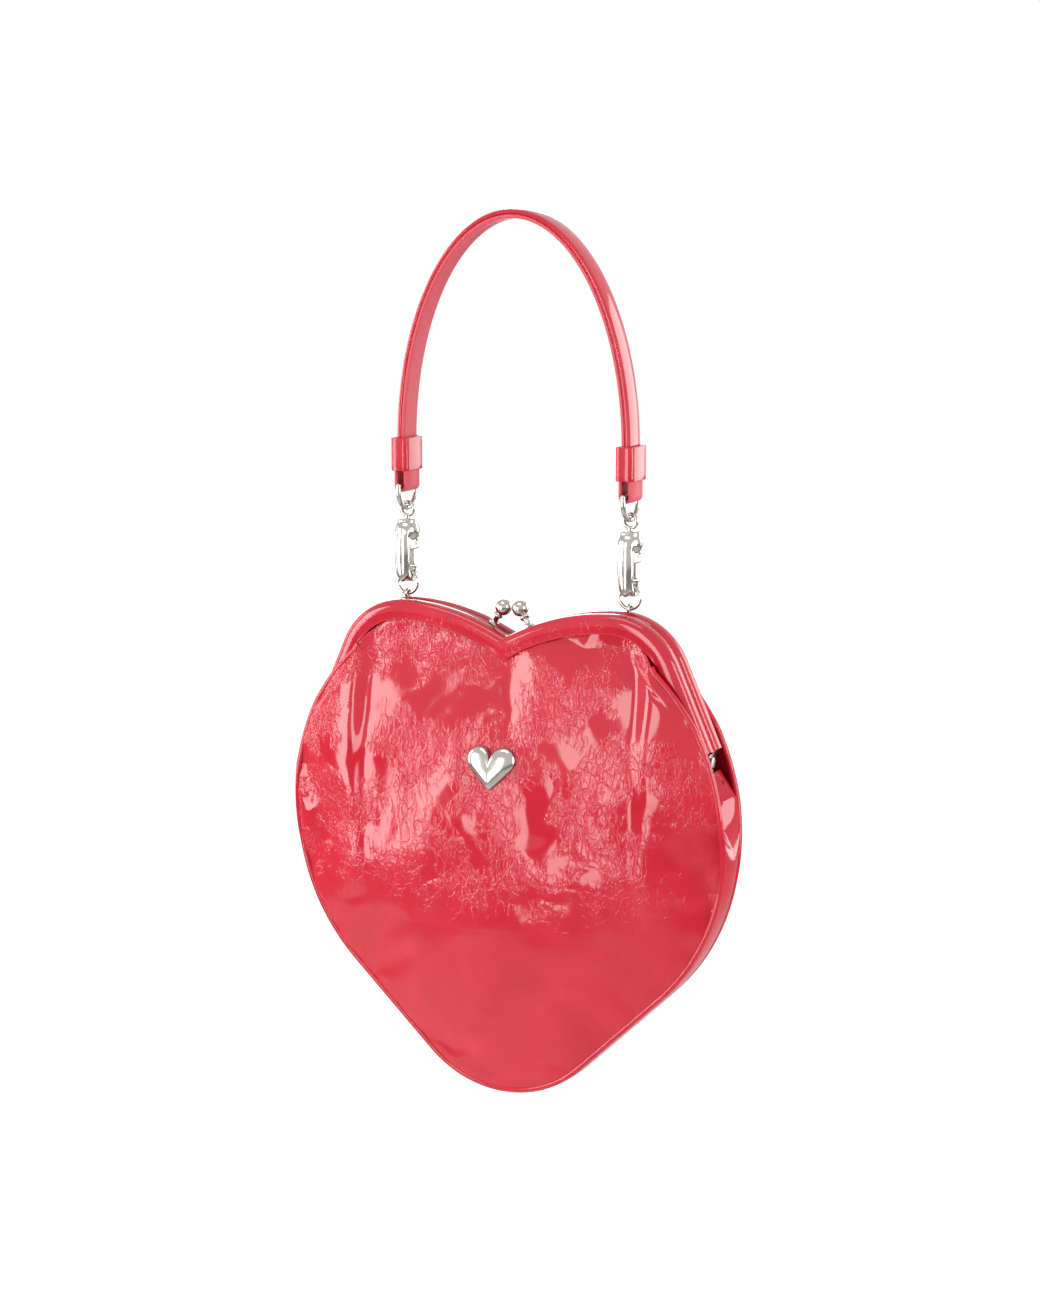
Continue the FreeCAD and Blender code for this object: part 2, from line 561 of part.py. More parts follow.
def shell(facing, width, low, high, stand, thickness):
    """A bowed sheet: both faces drawn through points of its formula, closed round the rim, then doubled.
    The rows begin beyond the middle so that the faces run smoothly through it, and are cut off there."""
    slices, steps, overrun = 16, 10, 2

    def face(inward):
        rows = []
        for number in range(-overrun, slices + 1):
            x = 0.985 * width * math.sin(0.5 * math.pi * number / slices)
            bottom, top = low(x), high(x)
            heights = [step / steps for step in range(steps + 1)]
            rows.append([Vec(x, facing * (stand(x, up) - inward), bottom + (top - bottom) * up)
                         for up in heights])
        surface = Part.BSplineSurface()
        surface.interpolate(rows)
        return surface

    outer, inner = face(0.0), face(thickness)
    faces = [outer.toShape(), inner.toShape()]
    first_u, last_u, first_v, last_v = outer.bounds()
    low_u, high_u, low_v, high_v = inner.bounds()
    for edge, other in ((outer.uIso(first_u), inner.uIso(low_u)), (outer.uIso(last_u), inner.uIso(high_u)),
                        (outer.vIso(first_v), inner.vIso(low_v)), (outer.vIso(last_v), inner.vIso(high_v))):
        faces.append(Part.makeRuledSurface(edge.toShape(), other.toShape()))
    skin = Part.makeShell(faces)
    skin.sewShape()
    half = Part.makeSolid(skin)
    if half.Volume < 0:
        half.reverse()
    half = half.common(Part.makeBox(2 * width, 2 * width, -2 * tip_z, Vec(0, -width, 2 * tip_z)))
    return half.fuse(half.mirror(Vec(), Vec(1, 0, 0)))


def slab(across, low, high):
    return Part.makeBox(2 * across, 2 * half_wide, high - low, Vec(-across, -half_wide, low))


front_panel = shell(-1, half_wide, panel_low, panel_top, panel_stand, size("panel_leather"))

# The front panel parts where it folds as the frame opens: a strip stays with the front half of the frame.
upper_limit = hinge_z + size("fold_top")
bib_limit = hinge_z + size("bib_top")
lower_limit = hinge_z - size("fold_foot")
bib = size("bib_half_width")
beyond = 2 * half_wide
shaped("front_panel_upper", front_panel.common(slab(beyond, upper_limit, lobe_top)))
lower_zone = slab(beyond, 2 * tip_z, lower_limit).fuse(slab(bib, lower_limit - 1, bib_limit))
lower = front_panel.common(lower_zone)
fold_zone = slab(beyond, lower_limit + 0.3, upper_limit - 0.3)
fold_zone = fold_zone.cut(slab(bib + 0.3, lower_limit - 1, bib_limit + 0.3))
shaped("front_panel_fold", front_panel.common(fold_zone))

# Plain heart-shaped stud on the front, held by one pin and a washer behind the leather.
stud_z = hinge_z - size("stud_drop")
up_there = (stud_z - panel_low(0)) / (panel_top(0) - panel_low(0))
stud_y = -panel_stand(0, up_there)
tilt = -math.degrees(math.atan2(panel_stand(0, up_there - 0.02) - panel_stand(0, up_there + 0.02),
                                0.04 * (panel_top(0) - panel_low(0))))
lobe = size("stud_size") * 0.5
stud_outline = sketch(Turn(), [
    ("arc", (-lobe, 0), lobe, 0, 225, "sizes.stud_size / 2"),
    ("line", on_circle((-lobe, 0), lobe, 225), (0, -lobe * (1 + math.sqrt(2)))),
    ("line", (0, -lobe * (1 + math.sqrt(2))), on_circle((lobe, 0), lobe, 315)),
    ("arc", (lobe, 0), lobe, -45, 180, "sizes.stud_size / 2"),
])
plate = doc.addObject("Part::Extrusion", "stud_plate")
plate.Base = stud_outline
plate.DirMode = "Normal"
plate.Solid = True
plate.setExpression("LengthFwd", "sizes.stud_height")
dome = doc.addObject("Part::Common", "stud_dome")
dome.Base = plate
dome.Tool = ball(Vec(0, -0.2 * lobe, size("stud_height") - 4 * size("stud_size")), "4 * sizes.stud_size")
pin = cylinder(Vec(0, 0, -3.6), Turn(), Radius="1.0", Height="4.2")
stud = node("heart_stud", joined(dome, pin))
stud_turn = Turn(Vec(1, 0, 0), 90 + tilt)
outward = stud_turn.multVec(Vec(0, 0, 1))
stud.Placement = FreeCAD.Placement(Vec(0, stud_y, stud_z) + outward * 0.3, stud_turn)
washer = cut(cylinder(Vec(0, 0, 0), Turn(), Radius="3.2", Height="0.6"),
             cylinder(Vec(0, 0, -1), Turn(), Radius="1.05", Height="3"))
behind = outward * (size("panel_leather") + 0.9)
washer.Placement = FreeCAD.Placement(Vec(0, stud_y, stud_z) - behind, stud_turn)
node("stud_washer", washer)
pin_hole = Part.makeCylinder(1.2, 12, Vec(0, stud_y, stud_z) - outward * 6, outward)
shaped("front_panel_lower", lower.cut(pin_hole))
shaped("rear_panel", shell(1, half_wide, panel_low, panel_top, panel_stand, size("panel_leather")))
shaped("front_lining", shell(-1, lining_wide, lining_low, lining_top, lining_stand, size("lining_cloth")))
shaped("rear_lining", shell(1, lining_wide, lining_low, lining_top, lining_stand, size("lining_cloth")))

# Slip pocket: a patch of lining cloth sewn flat on the rear lining.
pocket_stand = (lambda x, up: lining_stand(x, up) - size("lining_cloth") - 0.3)
pocket = shell(1, lining_wide, lining_low, lining_top, pocket_stand, size("lining_cloth"))
pocket_top = hinge_z - size("pocket_drop")
pocket_foot = pocket_top - size("pocket_height")
shaped("inner_pocket", pocket.common(slab(size("pocket_half_width"), pocket_foot, pocket_top)))


def rim_strip(near, far, top_turn):
    """Outline of a strip following the lower edge of the heart between two distances inward."""
    def half(inward, sign):
        flip = (lambda a: a) if sign > 0 else (lambda a: 180 - a)
        tip, side, upper = (size(word) - inward for word in ("tip_radius", "side_radius", "upper_side_radius"))
        tip_end = on_circle(tip_centre, tip, flank_turn)
        side_end = on_circle(side_centre, side, flank_turn)
        return [("arc", (sign * upper_centre[0], upper_centre[1]), upper, flip(top_turn), flip(0),
                 "sizes.upper_side_radius - %.4f" % inward),
                ("arc", (sign * side_centre[0], side_centre[1]), side, flip(0), flip(flank_turn),
                 "sizes.side_radius - %.4f" % inward),
                ("line", (sign * side_end[0], side_end[1]), (sign * tip_end[0], tip_end[1]))]

    def around(inward):
        right, left = half(inward, 1), half(inward, -1)
        tip = ("arc", tip_centre, size("tip_radius") - inward, flank_turn, -180 - flank_turn,
               "sizes.tip_radius - %.4f" % inward)
        back = [("line", left[2][2], left[2][1])]
        back += [("arc", piece[1], piece[2], piece[4], piece[3], piece[5]) for piece in (left[1], left[0])]
        return right + [tip] + back

    outer, inner = around(near), around(far)
    inner_back = []
    for piece in reversed(inner):
        if piece[0] == "line":
            inner_back.append(("line", piece[2], piece[1]))
        else:
            inner_back.append(("arc", piece[1], piece[2], piece[4], piece[3], piece[5]))
    right_near = on_circle(upper_centre, size("upper_side_radius") - near, top_turn)
    right_far = on_circle(upper_centre, size("upper_side_radius") - far, top_turn)
    return sketch(UPRIGHT, outer + [("line", (-right_near[0], right_near[1]), (-right_far[0], right_far[1]))]
                  + inner_back + [("line", right_far, right_near)])


node("gusset", thick(rim_strip(0.0, size("panel_leather"), 10.0), "2 * sizes.gusset_half_width", Vec()))
node("gusset_lining", thick(rim_strip(size("panel_leather") + 0.4, size("panel_leather") + 0.9, 9.0),
                            "2 * sizes.gusset_half_width - 1", Vec()))

doc.recompute()
for thing in nodes:
    wrong = [word for word in thing.State if word in ("Invalid", "Error")]
    if wrong or thing.Shape.isNull() or not thing.Shape.isValid() or not thing.Shape.Solids:
        raise RuntimeError("%s did not build: %s" % (thing.Label, wrong))
    thing.Shape.exportStep("parts/%s.step" % thing.Label)
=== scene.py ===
import math

import bpy
from mathutils import Matrix, Vector, noise


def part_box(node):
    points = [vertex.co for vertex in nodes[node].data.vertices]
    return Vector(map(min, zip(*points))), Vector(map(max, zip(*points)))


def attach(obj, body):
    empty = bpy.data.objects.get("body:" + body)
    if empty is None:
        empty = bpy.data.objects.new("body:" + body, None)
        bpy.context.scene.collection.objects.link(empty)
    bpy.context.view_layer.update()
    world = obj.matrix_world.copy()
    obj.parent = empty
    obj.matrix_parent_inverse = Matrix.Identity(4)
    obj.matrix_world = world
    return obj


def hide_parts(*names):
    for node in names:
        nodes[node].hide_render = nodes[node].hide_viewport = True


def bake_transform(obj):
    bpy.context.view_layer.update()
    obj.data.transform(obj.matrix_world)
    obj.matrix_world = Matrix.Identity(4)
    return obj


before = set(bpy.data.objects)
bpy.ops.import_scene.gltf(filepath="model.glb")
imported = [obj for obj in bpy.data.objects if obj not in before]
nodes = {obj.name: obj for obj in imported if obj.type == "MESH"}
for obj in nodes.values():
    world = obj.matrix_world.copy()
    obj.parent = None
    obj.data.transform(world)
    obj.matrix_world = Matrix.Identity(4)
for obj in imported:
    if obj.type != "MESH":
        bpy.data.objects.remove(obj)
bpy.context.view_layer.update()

# Steel channels of the snap frame, with the rivets, rings and posts that hang the bag.
# They are stamped or bent from steel, polished and nickel plated; the channels show only at the hinges.
MM = 0.001


def linear(hex_colour):
    """An sRGB hex colour as the linear values that shaders take."""
    parts = [int(hex_colour[place:place + 2], 16) / 255 for place in (1, 3, 5)]
    return [part / 12.92 if part <= 0.04045 else ((part + 0.055) / 1.055) ** 2.4 for part in parts] + [1.0]


def add_node(material, kind, settings, links=()):
    """Add a shader node, set its properties and sockets, and link (socket, output) pairs to it."""
    made = material.node_tree.nodes.new("ShaderNode" + kind)
    for name, value in settings.items():
        if isinstance(name, str) and name not in made.inputs:
            setattr(made, name, value)
        else:
            made.inputs[name].default_value = value
    for socket, output in links:
        material.node_tree.links.new(output, made.inputs[socket])
    return made


def new_material(name):
    """An empty material to build up node by node."""
    material = bpy.data.materials.new(name)
    material.use_nodes = True
    material.node_tree.nodes.clear()
    return material


def polished_metal(name, colour, roughness):
    """Polished nickel, or greyer and duller spring steel: a bright mirror, dulled in soft patches and
    by fine hairlines where it has been handled."""
    material = new_material(name)
    place = add_node(material, "TexCoord", {})
    patch_size, hairline_size, hairline_depth = 3.0 * MM, 0.5 * MM, 0.05 * MM
    most_dulled = roughness + 0.12
    patches = add_node(material, "TexNoise", {"Scale": 1 / patch_size, "Detail": 3.0},
                       [("Vector", place.outputs["Object"])])
    dulling = add_node(material, "MapRange", {"To Min": roughness, "To Max": most_dulled},
                       [("Value", patches.outputs["Fac"])])
    hairlines = add_node(material, "TexNoise", {"Scale": 1 / hairline_size, "Detail": 2.0},
                         [("Vector", place.outputs["Object"])])
    bump = add_node(material, "Bump", {"Strength": 0.02, "Distance": hairline_depth},
                    [("Height", hairlines.outputs["Fac"])])
    shader = add_node(material, "BsdfPrincipled", {"Base Color": linear(colour), "Metallic": 1.0},
                      [("Roughness", dulling.outputs["Result"]), ("Normal", bump.outputs["Normal"])])
    add_node(material, "OutputMaterial", {}, [("Surface", shader.outputs["BSDF"])])
    return material


def dress(material, *names):
    """Finish metal pieces that are shown as they were worked."""
    for name in names:
        nodes[name].data.materials.clear()
        nodes[name].data.materials.append(material)


polished_nickel = polished_metal("polished_nickel", "#B8B4AD", 0.10)
dress(polished_nickel, "front_frame_channel", "rear_frame_channel", "left_hinge_rivet", "right_hinge_rivet",
      "left_ring_post", "right_ring_post", "left_frame_ring", "right_frame_ring")
spring_steel = polished_metal("blued_spring_steel", "#8E8F94", 0.25)
dress(spring_steel, "left_gate_spring", "right_gate_spring")

# Frame covers: each half of the frame is wrapped in one strip of patent leather, glued and drawn
# tight over the channel, its edges tucked into the mouth of the channel.
cover_low, cover_high = (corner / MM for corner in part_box("front_frame_cover"))
half_depth = cover_high.y - cover_low.y
half_middle = -(cover_high.y + cover_low.y) / 2
lobe_top = cover_high.z
LOBE_OUT, DIP_RADIUS, SHOULDER_RADIUS, BAND = 48.0, 95.0, 31.0, 8.0
FLANK_LEAN, FLANK_LENGTH, DIP_SOFTNESS = math.radians(24), 38.0, 2.5
DIP_STEPS, SHOULDER_STEPS, FLANK_STEPS = 28, 22, 8
LEATHER, LIP_IN, LIP_UP, ARCH_FOOT, ARCH_POWER = 0.9, 0.25, 0.6, -0.8, 0.72
OUTSIDE_STEPS, INSIDE_STEPS = 14, 10
DIP_BUNCH, DIP_SAG = 9.0, 2.4


def edge_height(x, inward):
    """Height of the frame's edge, drawn in by a distance, from the dip out to the shoulder."""
    radius = DIP_RADIUS if x < LOBE_OUT else SHOULDER_RADIUS
    return lobe_top - radius + math.sqrt((radius - inward) ** 2 - (x - LOBE_OUT) ** 2)


def flank_point(inward, along):
    """A point of the straight flank, some way down from the shoulder towards the hinge."""
    reach = SHOULDER_RADIUS - inward
    return (LOBE_OUT + reach * math.cos(FLANK_LEAN) + along * math.sin(FLANK_LEAN),
            lobe_top - SHOULDER_RADIUS + reach * math.sin(FLANK_LEAN) - along * math.cos(FLANK_LEAN))


def frame_line(inward):
    """The frame from left hinge to right hinge, as points of the XZ plane."""
    half = []
    for step in range(DIP_STEPS + 1):
        x = LOBE_OUT * step / DIP_STEPS
        half.append((x, edge_height(min(math.hypot(x, DIP_SOFTNESS), LOBE_OUT - 0.01), inward)))
    reach = SHOULDER_RADIUS - inward
    for step in range(1, SHOULDER_STEPS + 1):
        turn = math.pi / 2 + (FLANK_LEAN - math.pi / 2) * step / SHOULDER_STEPS
        half.append((LOBE_OUT + reach * math.cos(turn), lobe_top - SHOULDER_RADIUS + reach * math.sin(turn)))
    half += [flank_point(inward, FLANK_LENGTH * step / FLANK_STEPS) for step in range(1, FLANK_STEPS + 1)]
    return [(-x, z) for x, z in reversed(half[1:])] + half


def deselect():
    """Leave nothing selected, so that the next step acts on its own piece alone."""
    bpy.ops.object.select_all(action="DESELECT")


def make_active(piece):
    """Select one piece alone."""
    deselect()
    piece.select_set(True)
    bpy.context.view_layer.objects.active = piece


def outline(name, points, closed, dimensions):
    """A curve of straight runs through points given in millimetres."""
    data = bpy.data.curves.new(name, "CURVE")
    data.dimensions = dimensions
    spline = data.splines.new("POLY")
    spline.points.add(len(points) - 1)
    for spot, point in zip(spline.points, points):
        spot.co = [value * MM for value in point] + [1.0]
    spline.use_cyclic_u = closed
    drawn = bpy.data.objects.new(name, data)
    bpy.context.scene.collection.objects.link(drawn)
    return drawn


def swept(name, path, section, capped=True):
    """A section drawn along a path; for a path that starts level and runs to the right, section points are
    (forward, up), and for one that starts straight down they are (right, back)."""
    shape = outline(name + "_section", [(*point, 0.0) for point in section], True, "2D")
    piece = outline(name, path, False, "3D")
    piece.data.twist_mode = "MINIMUM"
    piece.data.bevel_mode = "OBJECT"
    piece.data.bevel_object = shape
    piece.data.use_fill_caps = capped
    make_active(piece)
    bpy.ops.object.convert(target="MESH")
    bpy.data.objects.remove(shape)
    tidy_mesh(piece)
    return piece


def tidy_mesh(piece, sharp=40.0):
    """Merge doubles, turn the faces outwards and shade the piece smooth up to an angle."""
    make_active(piece)
    bpy.ops.object.mode_set(mode="EDIT")
    bpy.ops.mesh.select_all(action="SELECT")
    bpy.ops.mesh.remove_doubles(threshold=0.002 * MM)
    bpy.ops.mesh.normals_make_consistent(inside=False)
    bpy.ops.object.mode_set(mode="OBJECT")
    bpy.ops.object.shade_smooth_by_angle(angle=math.radians(sharp))


def apply_modifiers(piece):
    """Fix every modifier of a piece in its mesh."""
    make_active(piece)
    for modifier in list(piece.modifiers):
        bpy.ops.object.modifier_apply(modifier=modifier.name)


def cover_section():
    """A soft U over the channel: outside from front to back, then the inside back again."""
    faces = []
    for inward, steps in ((0, OUTSIDE_STEPS), (LEATHER, INSIDE_STEPS)):
        half, top = half_depth / 2 - inward, BAND / 2 - inward
        arch = []
        for step in range(steps + 1):
            turn = math.pi * step / steps
            wide = math.copysign(abs(math.cos(turn)) ** ARCH_POWER, math.cos(turn))
            arch.append((half * wide, ARCH_FOOT + (top - ARCH_FOOT) * math.sin(turn) ** ARCH_POWER))
        right_lip = [(half - LIP_IN, -BAND / 2), (half, -BAND / 2 + LIP_UP)]
        left_lip = [(-half, -BAND / 2 + LIP_UP), (-half + LIP_IN, -BAND / 2)]
        faces.append(right_lip + arch + left_lip)
    outside, inside = faces
    return outside + inside[::-1]


def patent_leather(name, coordinates, crease_depth, slack_depth, smooth_below=None):
    """Patent calf: red dye under a clear lacquer. The eye gets a wet mirror gloss, broken by a web of
    creases where the lacquer has cracked, over a slack and cloudy red; below a line it may be smooth."""
    material = new_material(name)
    spot = add_node(material, "TexCoord", {}).outputs[coordinates]
    drift_size, web_size, fine_size = 9.0 * MM, 5.8 * MM, 2.4 * MM
    cloud_size, wave_size = 26.0 * MM, 28.0 * MM
    pull, smoothing_band, fine_share = 10 * MM, 25 * MM, 0.3

    # Creases lean to one side and wander, coarse ones crossed by fine ones.
    drift = add_node(material, "TexNoise", {"Scale": 1 / drift_size, "Detail": 4.0}, [("Vector", spot)])
    leaning = add_node(material, "Mapping", {"Rotation": (0, 0, math.radians(35)), "Scale": (1.5, 0.7, 1.0)},
                       [("Vector", spot)])
    pulled = add_node(material, "VectorMath", {"operation": "MULTIPLY_ADD", 1: (pull, pull, pull)},
                      [(0, drift.outputs["Color"]), (2, leaning.outputs[0])])
    furrows = []
    for size, width in ((web_size, 0.08), (fine_size, 0.12)):
        cells = add_node(material, "TexVoronoi", {"Scale": 1 / size, "feature": "DISTANCE_TO_EDGE"},
                         [("Vector", pulled.outputs[0])])
        furrows.append(add_node(material, "MapRange", {"From Max": width, "interpolation_type": "SMOOTHSTEP"},
                                [("Value", cells.outputs["Distance"])]))
    coarse, fine = furrows
    web = add_node(material, "Math", {"operation": "MULTIPLY_ADD", 1: fine_share},
                   [(0, fine.outputs["Result"]), (2, coarse.outputs["Result"])])

    # They show in worn clouds only, and break off along the way.
    clouds = add_node(material, "TexNoise", {"Scale": 1 / cloud_size, "Detail": 2.5, "Distortion": 0.4},
                      [("Vector", spot)])
    worn = add_node(material, "MapRange",
                    {"From Min": 0.42, "From Max": 0.54, "interpolation_type": "SMOOTHSTEP"},
                    [("Value", clouds.outputs["Fac"])])
    waves = add_node(material, "TexNoise", {"Scale": 1 / wave_size, "Detail": 1.0}, [("Vector", spot)])
    height = waves.outputs["Fac"]
    if smooth_below is not None:
        across = add_node(material, "SeparateXYZ", {}, [(0, spot)])
        above = add_node(material, "MapRange",
                         {"From Min": smooth_below, "From Max": smooth_below + smoothing_band},
                         [("Value", across.outputs["Y"])])
        worn = add_node(material, "Math", {"operation": "MULTIPLY"},
                        [(0, worn.outputs["Result"]), (1, above.outputs["Result"])])
        height = add_node(material, "Math", {"operation": "MULTIPLY"},
                          [(0, height), (1, above.outputs["Result"])]).outputs[0]
    breaks = add_node(material, "MapRange", {"From Min": 0.35, "From Max": 0.6, "To Min": 0.15},
                      [("Value", drift.outputs["Fac"])])
    deep = add_node(material, "Math", {"operation": "MULTIPLY"},
                    [(0, breaks.outputs[0]), (1, worn.outputs[0])])
    depth = add_node(material, "Math", {"operation": "MULTIPLY"},
                     [(0, web.outputs[0]), (1, deep.outputs[0])])
    creases = add_node(material, "Bump", {"Strength": 1.0, "Distance": crease_depth},
                       [("Height", depth.outputs[0])])
    slack = add_node(material, "Bump", {"Strength": 1.0, "Distance": slack_depth},
                     [("Height", height), ("Normal", creases.outputs["Normal"])])

    red = add_node(material, "ValToRGB", {}, [("Fac", clouds.outputs["Fac"])])
    red.color_ramp.elements[0].position = 0.3
    red.color_ramp.elements[0].color = linear("#C8162C")
    red.color_ramp.elements[1].position = 0.7
    red.color_ramp.elements[1].color = linear("#D62239")
    gloss = add_node(material, "MapRange", {"To Min": 0.05, "To Max": 0.15},
                     [("Value", clouds.outputs["Fac"])])
    shader = add_node(material, "BsdfPrincipled", {"IOR": 1.52},
                      [("Base Color", red.outputs["Color"]), ("Roughness", gloss.outputs["Result"]),
                       ("Normal", slack.outputs["Normal"])])
    add_node(material, "OutputMaterial", {}, [("Surface", shader.outputs["BSDF"])])
    return material


smooth_patent = patent_leather("smooth_patent_calf", "Object", crease_depth=0.02 * MM, slack_depth=0.3 * MM)
for facing, half in ((-1, "front"), (1, "rear")):
    line = [(x, facing * half_middle, z) for x, z in frame_line(BAND / 2)]
    cover = swept(half + "_cover", line, cover_section())
    for spot in cover.data.vertices:
        x = abs(spot.co.x) / MM
        near = max(1 - x / DIP_BUNCH, 0)
        middle_z = edge_height(min(math.hypot(x, DIP_SOFTNESS), LOBE_OUT), BAND / 2)
        below = (middle_z - spot.co.z / MM) / (BAND / 2)
        spot.co.z -= DIP_SAG * MM * near ** 2 * min(max(below, 0), 1)
    cover.data.materials.append(smooth_patent)
    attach(cover, half + "_half")
    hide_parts(half + "_frame_cover")

# Packing: edges of leather and lining rolled on paper twine and pressed into the channels.
# Kraft paper, so a dull straw brown with a twisted grain; it shows only with the purse open.
paper_twine = new_material("kraft_paper_twine")
place = add_node(paper_twine, "TexCoord", {})
twist_pitch = 1.6 * MM
strands = add_node(paper_twine, "TexWave",
                   {"Scale": 0.5 / twist_pitch, "Distortion": 1.5, "bands_direction": "DIAGONAL"},
                   [("Vector", place.outputs["Object"])])
straw = add_node(paper_twine, "ValToRGB", {}, [("Fac", strands.outputs["Fac"])])
straw.color_ramp.elements[0].color = linear("#8C6B45")
straw.color_ramp.elements[1].color = linear("#B8976A")
ridges = add_node(paper_twine, "Bump", {"Strength": 0.5, "Distance": 0.2 * MM},
                  [("Height", strands.outputs["Fac"])])
shader = add_node(paper_twine, "BsdfPrincipled", {"Roughness": 0.85},
                  [("Base Color", straw.outputs["Color"]), ("Normal", ridges.outputs["Normal"])])
add_node(paper_twine, "OutputMaterial", {}, [("Surface", shader.outputs["BSDF"])])
TWINE_INWARD, TWINE_HALF, TWINE_TOP, TWINE_RADIUS = 5.8, 2.2, 2.0, 0.73
ROLL_STEPS, ENDS_CUT = 6, 2
rolls = [(middle + TWINE_RADIUS * math.cos(turn), -TWINE_TOP + TWINE_RADIUS - TWINE_RADIUS * math.sin(turn))
         for middle in (-2 * TWINE_RADIUS, 0, 2 * TWINE_RADIUS)
         for turn in (math.pi - math.pi * step / ROLL_STEPS for step in range(ROLL_STEPS + 1))]
for facing, half in ((-1, "front"), (1, "rear")):
    line = [(x, facing * half_middle, z) for x, z in frame_line(TWINE_INWARD)][ENDS_CUT:-ENDS_CUT]
    twine = swept(half + "_twine", line, rolls + [(TWINE_HALF, TWINE_TOP), (-TWINE_HALF, TWINE_TOP)])
    twine.data.materials.append(paper_twine)
    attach(twine, half + "_half")
    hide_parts(half + "_packing")

# Kiss lock: two turned knobs whose balls snap past each other over the dip.
# Each is nickelled brass on a slanting stem riveted into its own half of the frame.
BALL_RADIUS, BALL_OUT, BALL_DROP = 3.5, 3.85, 1.2
BALL_FROM, BALL_ARC, BALL_STEPS, KNOB_SIDES = 20, 158, 12, 28
STEM_OUT, STEM_SIDE, STEM_SUNK = 9.7, 3.0, 0.2
STEM_RINGS = [(2.0, -0.6), (2.3, -0.3), (2.3, 0.3), (1.5, 0.9), (1.2, 1.6), (1.1, 3.2), (1.2, 4.0),
              (1.9, 4.4), (2.1, 4.9), (1.9, 5.4), (1.3, 5.8)]


def draw_up(rings):
    """Extrude the selected face from ring to ring; rings are (width, height)."""
    bpy.ops.object.mode_set(mode="EDIT")
    for (wide, low), (next_wide, high) in zip(rings, rings[1:]):
        bpy.ops.mesh.extrude_region_move(TRANSFORM_OT_translate={"value": (0, 0, (high - low) * MM)})
        share = next_wide / wide
        bpy.ops.transform.resize(value=(share, share, 1), center_override=(0, 0, high * MM))
    bpy.ops.object.mode_set(mode="OBJECT")


def turned(name, rings, sides):
    """A round piece drawn up ring by ring from its foot; rings are (radius, height)."""
    deselect()
    bpy.ops.mesh.primitive_circle_add(vertices=sides, radius=rings[0][0] * MM, fill_type="NGON",
                                      location=(0, 0, rings[0][1] * MM))
    piece = bpy.context.object
    piece.name = name
    draw_up(rings)
    bpy.ops.object.transform_apply()
    return piece


def stand_at(piece, foot, top):
    """Turn a piece made along +Z to point from foot to top, in millimetres, and fix it there."""
    make_active(piece)
    piece.rotation_euler = (Vector(top) - Vector(foot)).to_track_quat("Z", "Y").to_euler()
    piece.location = Vector(foot) * MM
    bpy.ops.object.transform_apply()


for facing, half in ((-1, "front"), (1, "rear")):
    hand = -facing
    foot = Vector((hand * STEM_OUT, facing * STEM_SIDE, edge_height(STEM_OUT, 0) - STEM_SUNK))
    top = Vector((hand * BALL_OUT, 0, lobe_top - BALL_DROP))
    length = (top - foot).length
    turns = [math.radians(BALL_FROM + BALL_ARC * step / BALL_STEPS) for step in range(BALL_STEPS + 1)]
    ball_rings = [(BALL_RADIUS * math.sin(turn), length - BALL_RADIUS * math.cos(turn)) for turn in turns]
    knob = turned(half + "_knob", STEM_RINGS + ball_rings, KNOB_SIDES)
    stand_at(knob, foot, top)
    tidy_mesh(knob, sharp=50)
    knob.data.materials.append(polished_nickel)
    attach(knob, half + "_half")
    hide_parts(half + "_lock_ball")

# Front and rear panels: one piece of crinkled patent leather each, cut larger than the heart,
# sewn to the gusset below and gathered into the frame above, so that they swell like a pillow.
half_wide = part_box("gusset")[1].x / MM
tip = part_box("gusset")[0].z / MM
hinge_low, hinge_high = (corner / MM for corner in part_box("right_hinge_rivet"))
hinge, hinge_out = (hinge_low.z + hinge_high.z) / 2, (hinge_low.x + hinge_high.x) / 2
WIDEST_DROP, GRIP_BACK, PANEL_LEATHER = 93.6, 0.2, 1.2
SIDE_RADIUS, UPPER_RADIUS, TIP_RADIUS, WING_TURN = 90.0, 110.0, 50.0, math.radians(25)
SEAM_OUT, FRAME_OUT, WING_OUT, WING_FROM, WING_RUN, WING_BULGE = 7.7, 6.6, 11.0, 9.3, 9.0, 2.0
TUCK, CLEAR_BY, UNTUCK_FROM, UNTUCK_RUN = 2.5, 0.6, 13.0, 6.0
SWELL, SWELL_POWER, SWELL_DROP, GATHER_DEPTH = 13.0, 0.8, 6.0, 10.0
widest = lobe_top - WIDEST_DROP
grip = flank_point(BAND, 0)[0] - GRIP_BACK
lean_x, lean_z = half_wide - SIDE_RADIUS, widest - tip - TIP_RADIUS
side_turn = math.atan2(lean_z, lean_x) - math.acos((TIP_RADIUS - SIDE_RADIUS) / math.hypot(lean_x, lean_z))


def smooth_step(value):
    """From 0 to 1 without a kink at either end."""
    value = min(max(value, 0), 1)
    return value * value * (3 - 2 * value)


def low_edge(x, inset):
    """Height of the heart's lower edge at x, drawn in by a distance."""
    point, side = TIP_RADIUS - inset, SIDE_RADIUS - inset
    point_x, point_z = point * math.cos(side_turn), tip + TIP_RADIUS + point * math.sin(side_turn)
    side_x, side_z = half_wide - SIDE_RADIUS + side * math.cos(side_turn), widest + side * math.sin(side_turn)
    if x <= point_x:
        return tip + TIP_RADIUS - math.sqrt(point ** 2 - x ** 2)
    if x <= side_x:
        return point_z + (x - point_x) / (side_x - point_x) * (side_z - point_z)
    return widest - math.sqrt(max(side ** 2 - (x - half_wide + SIDE_RADIUS) ** 2, 0))


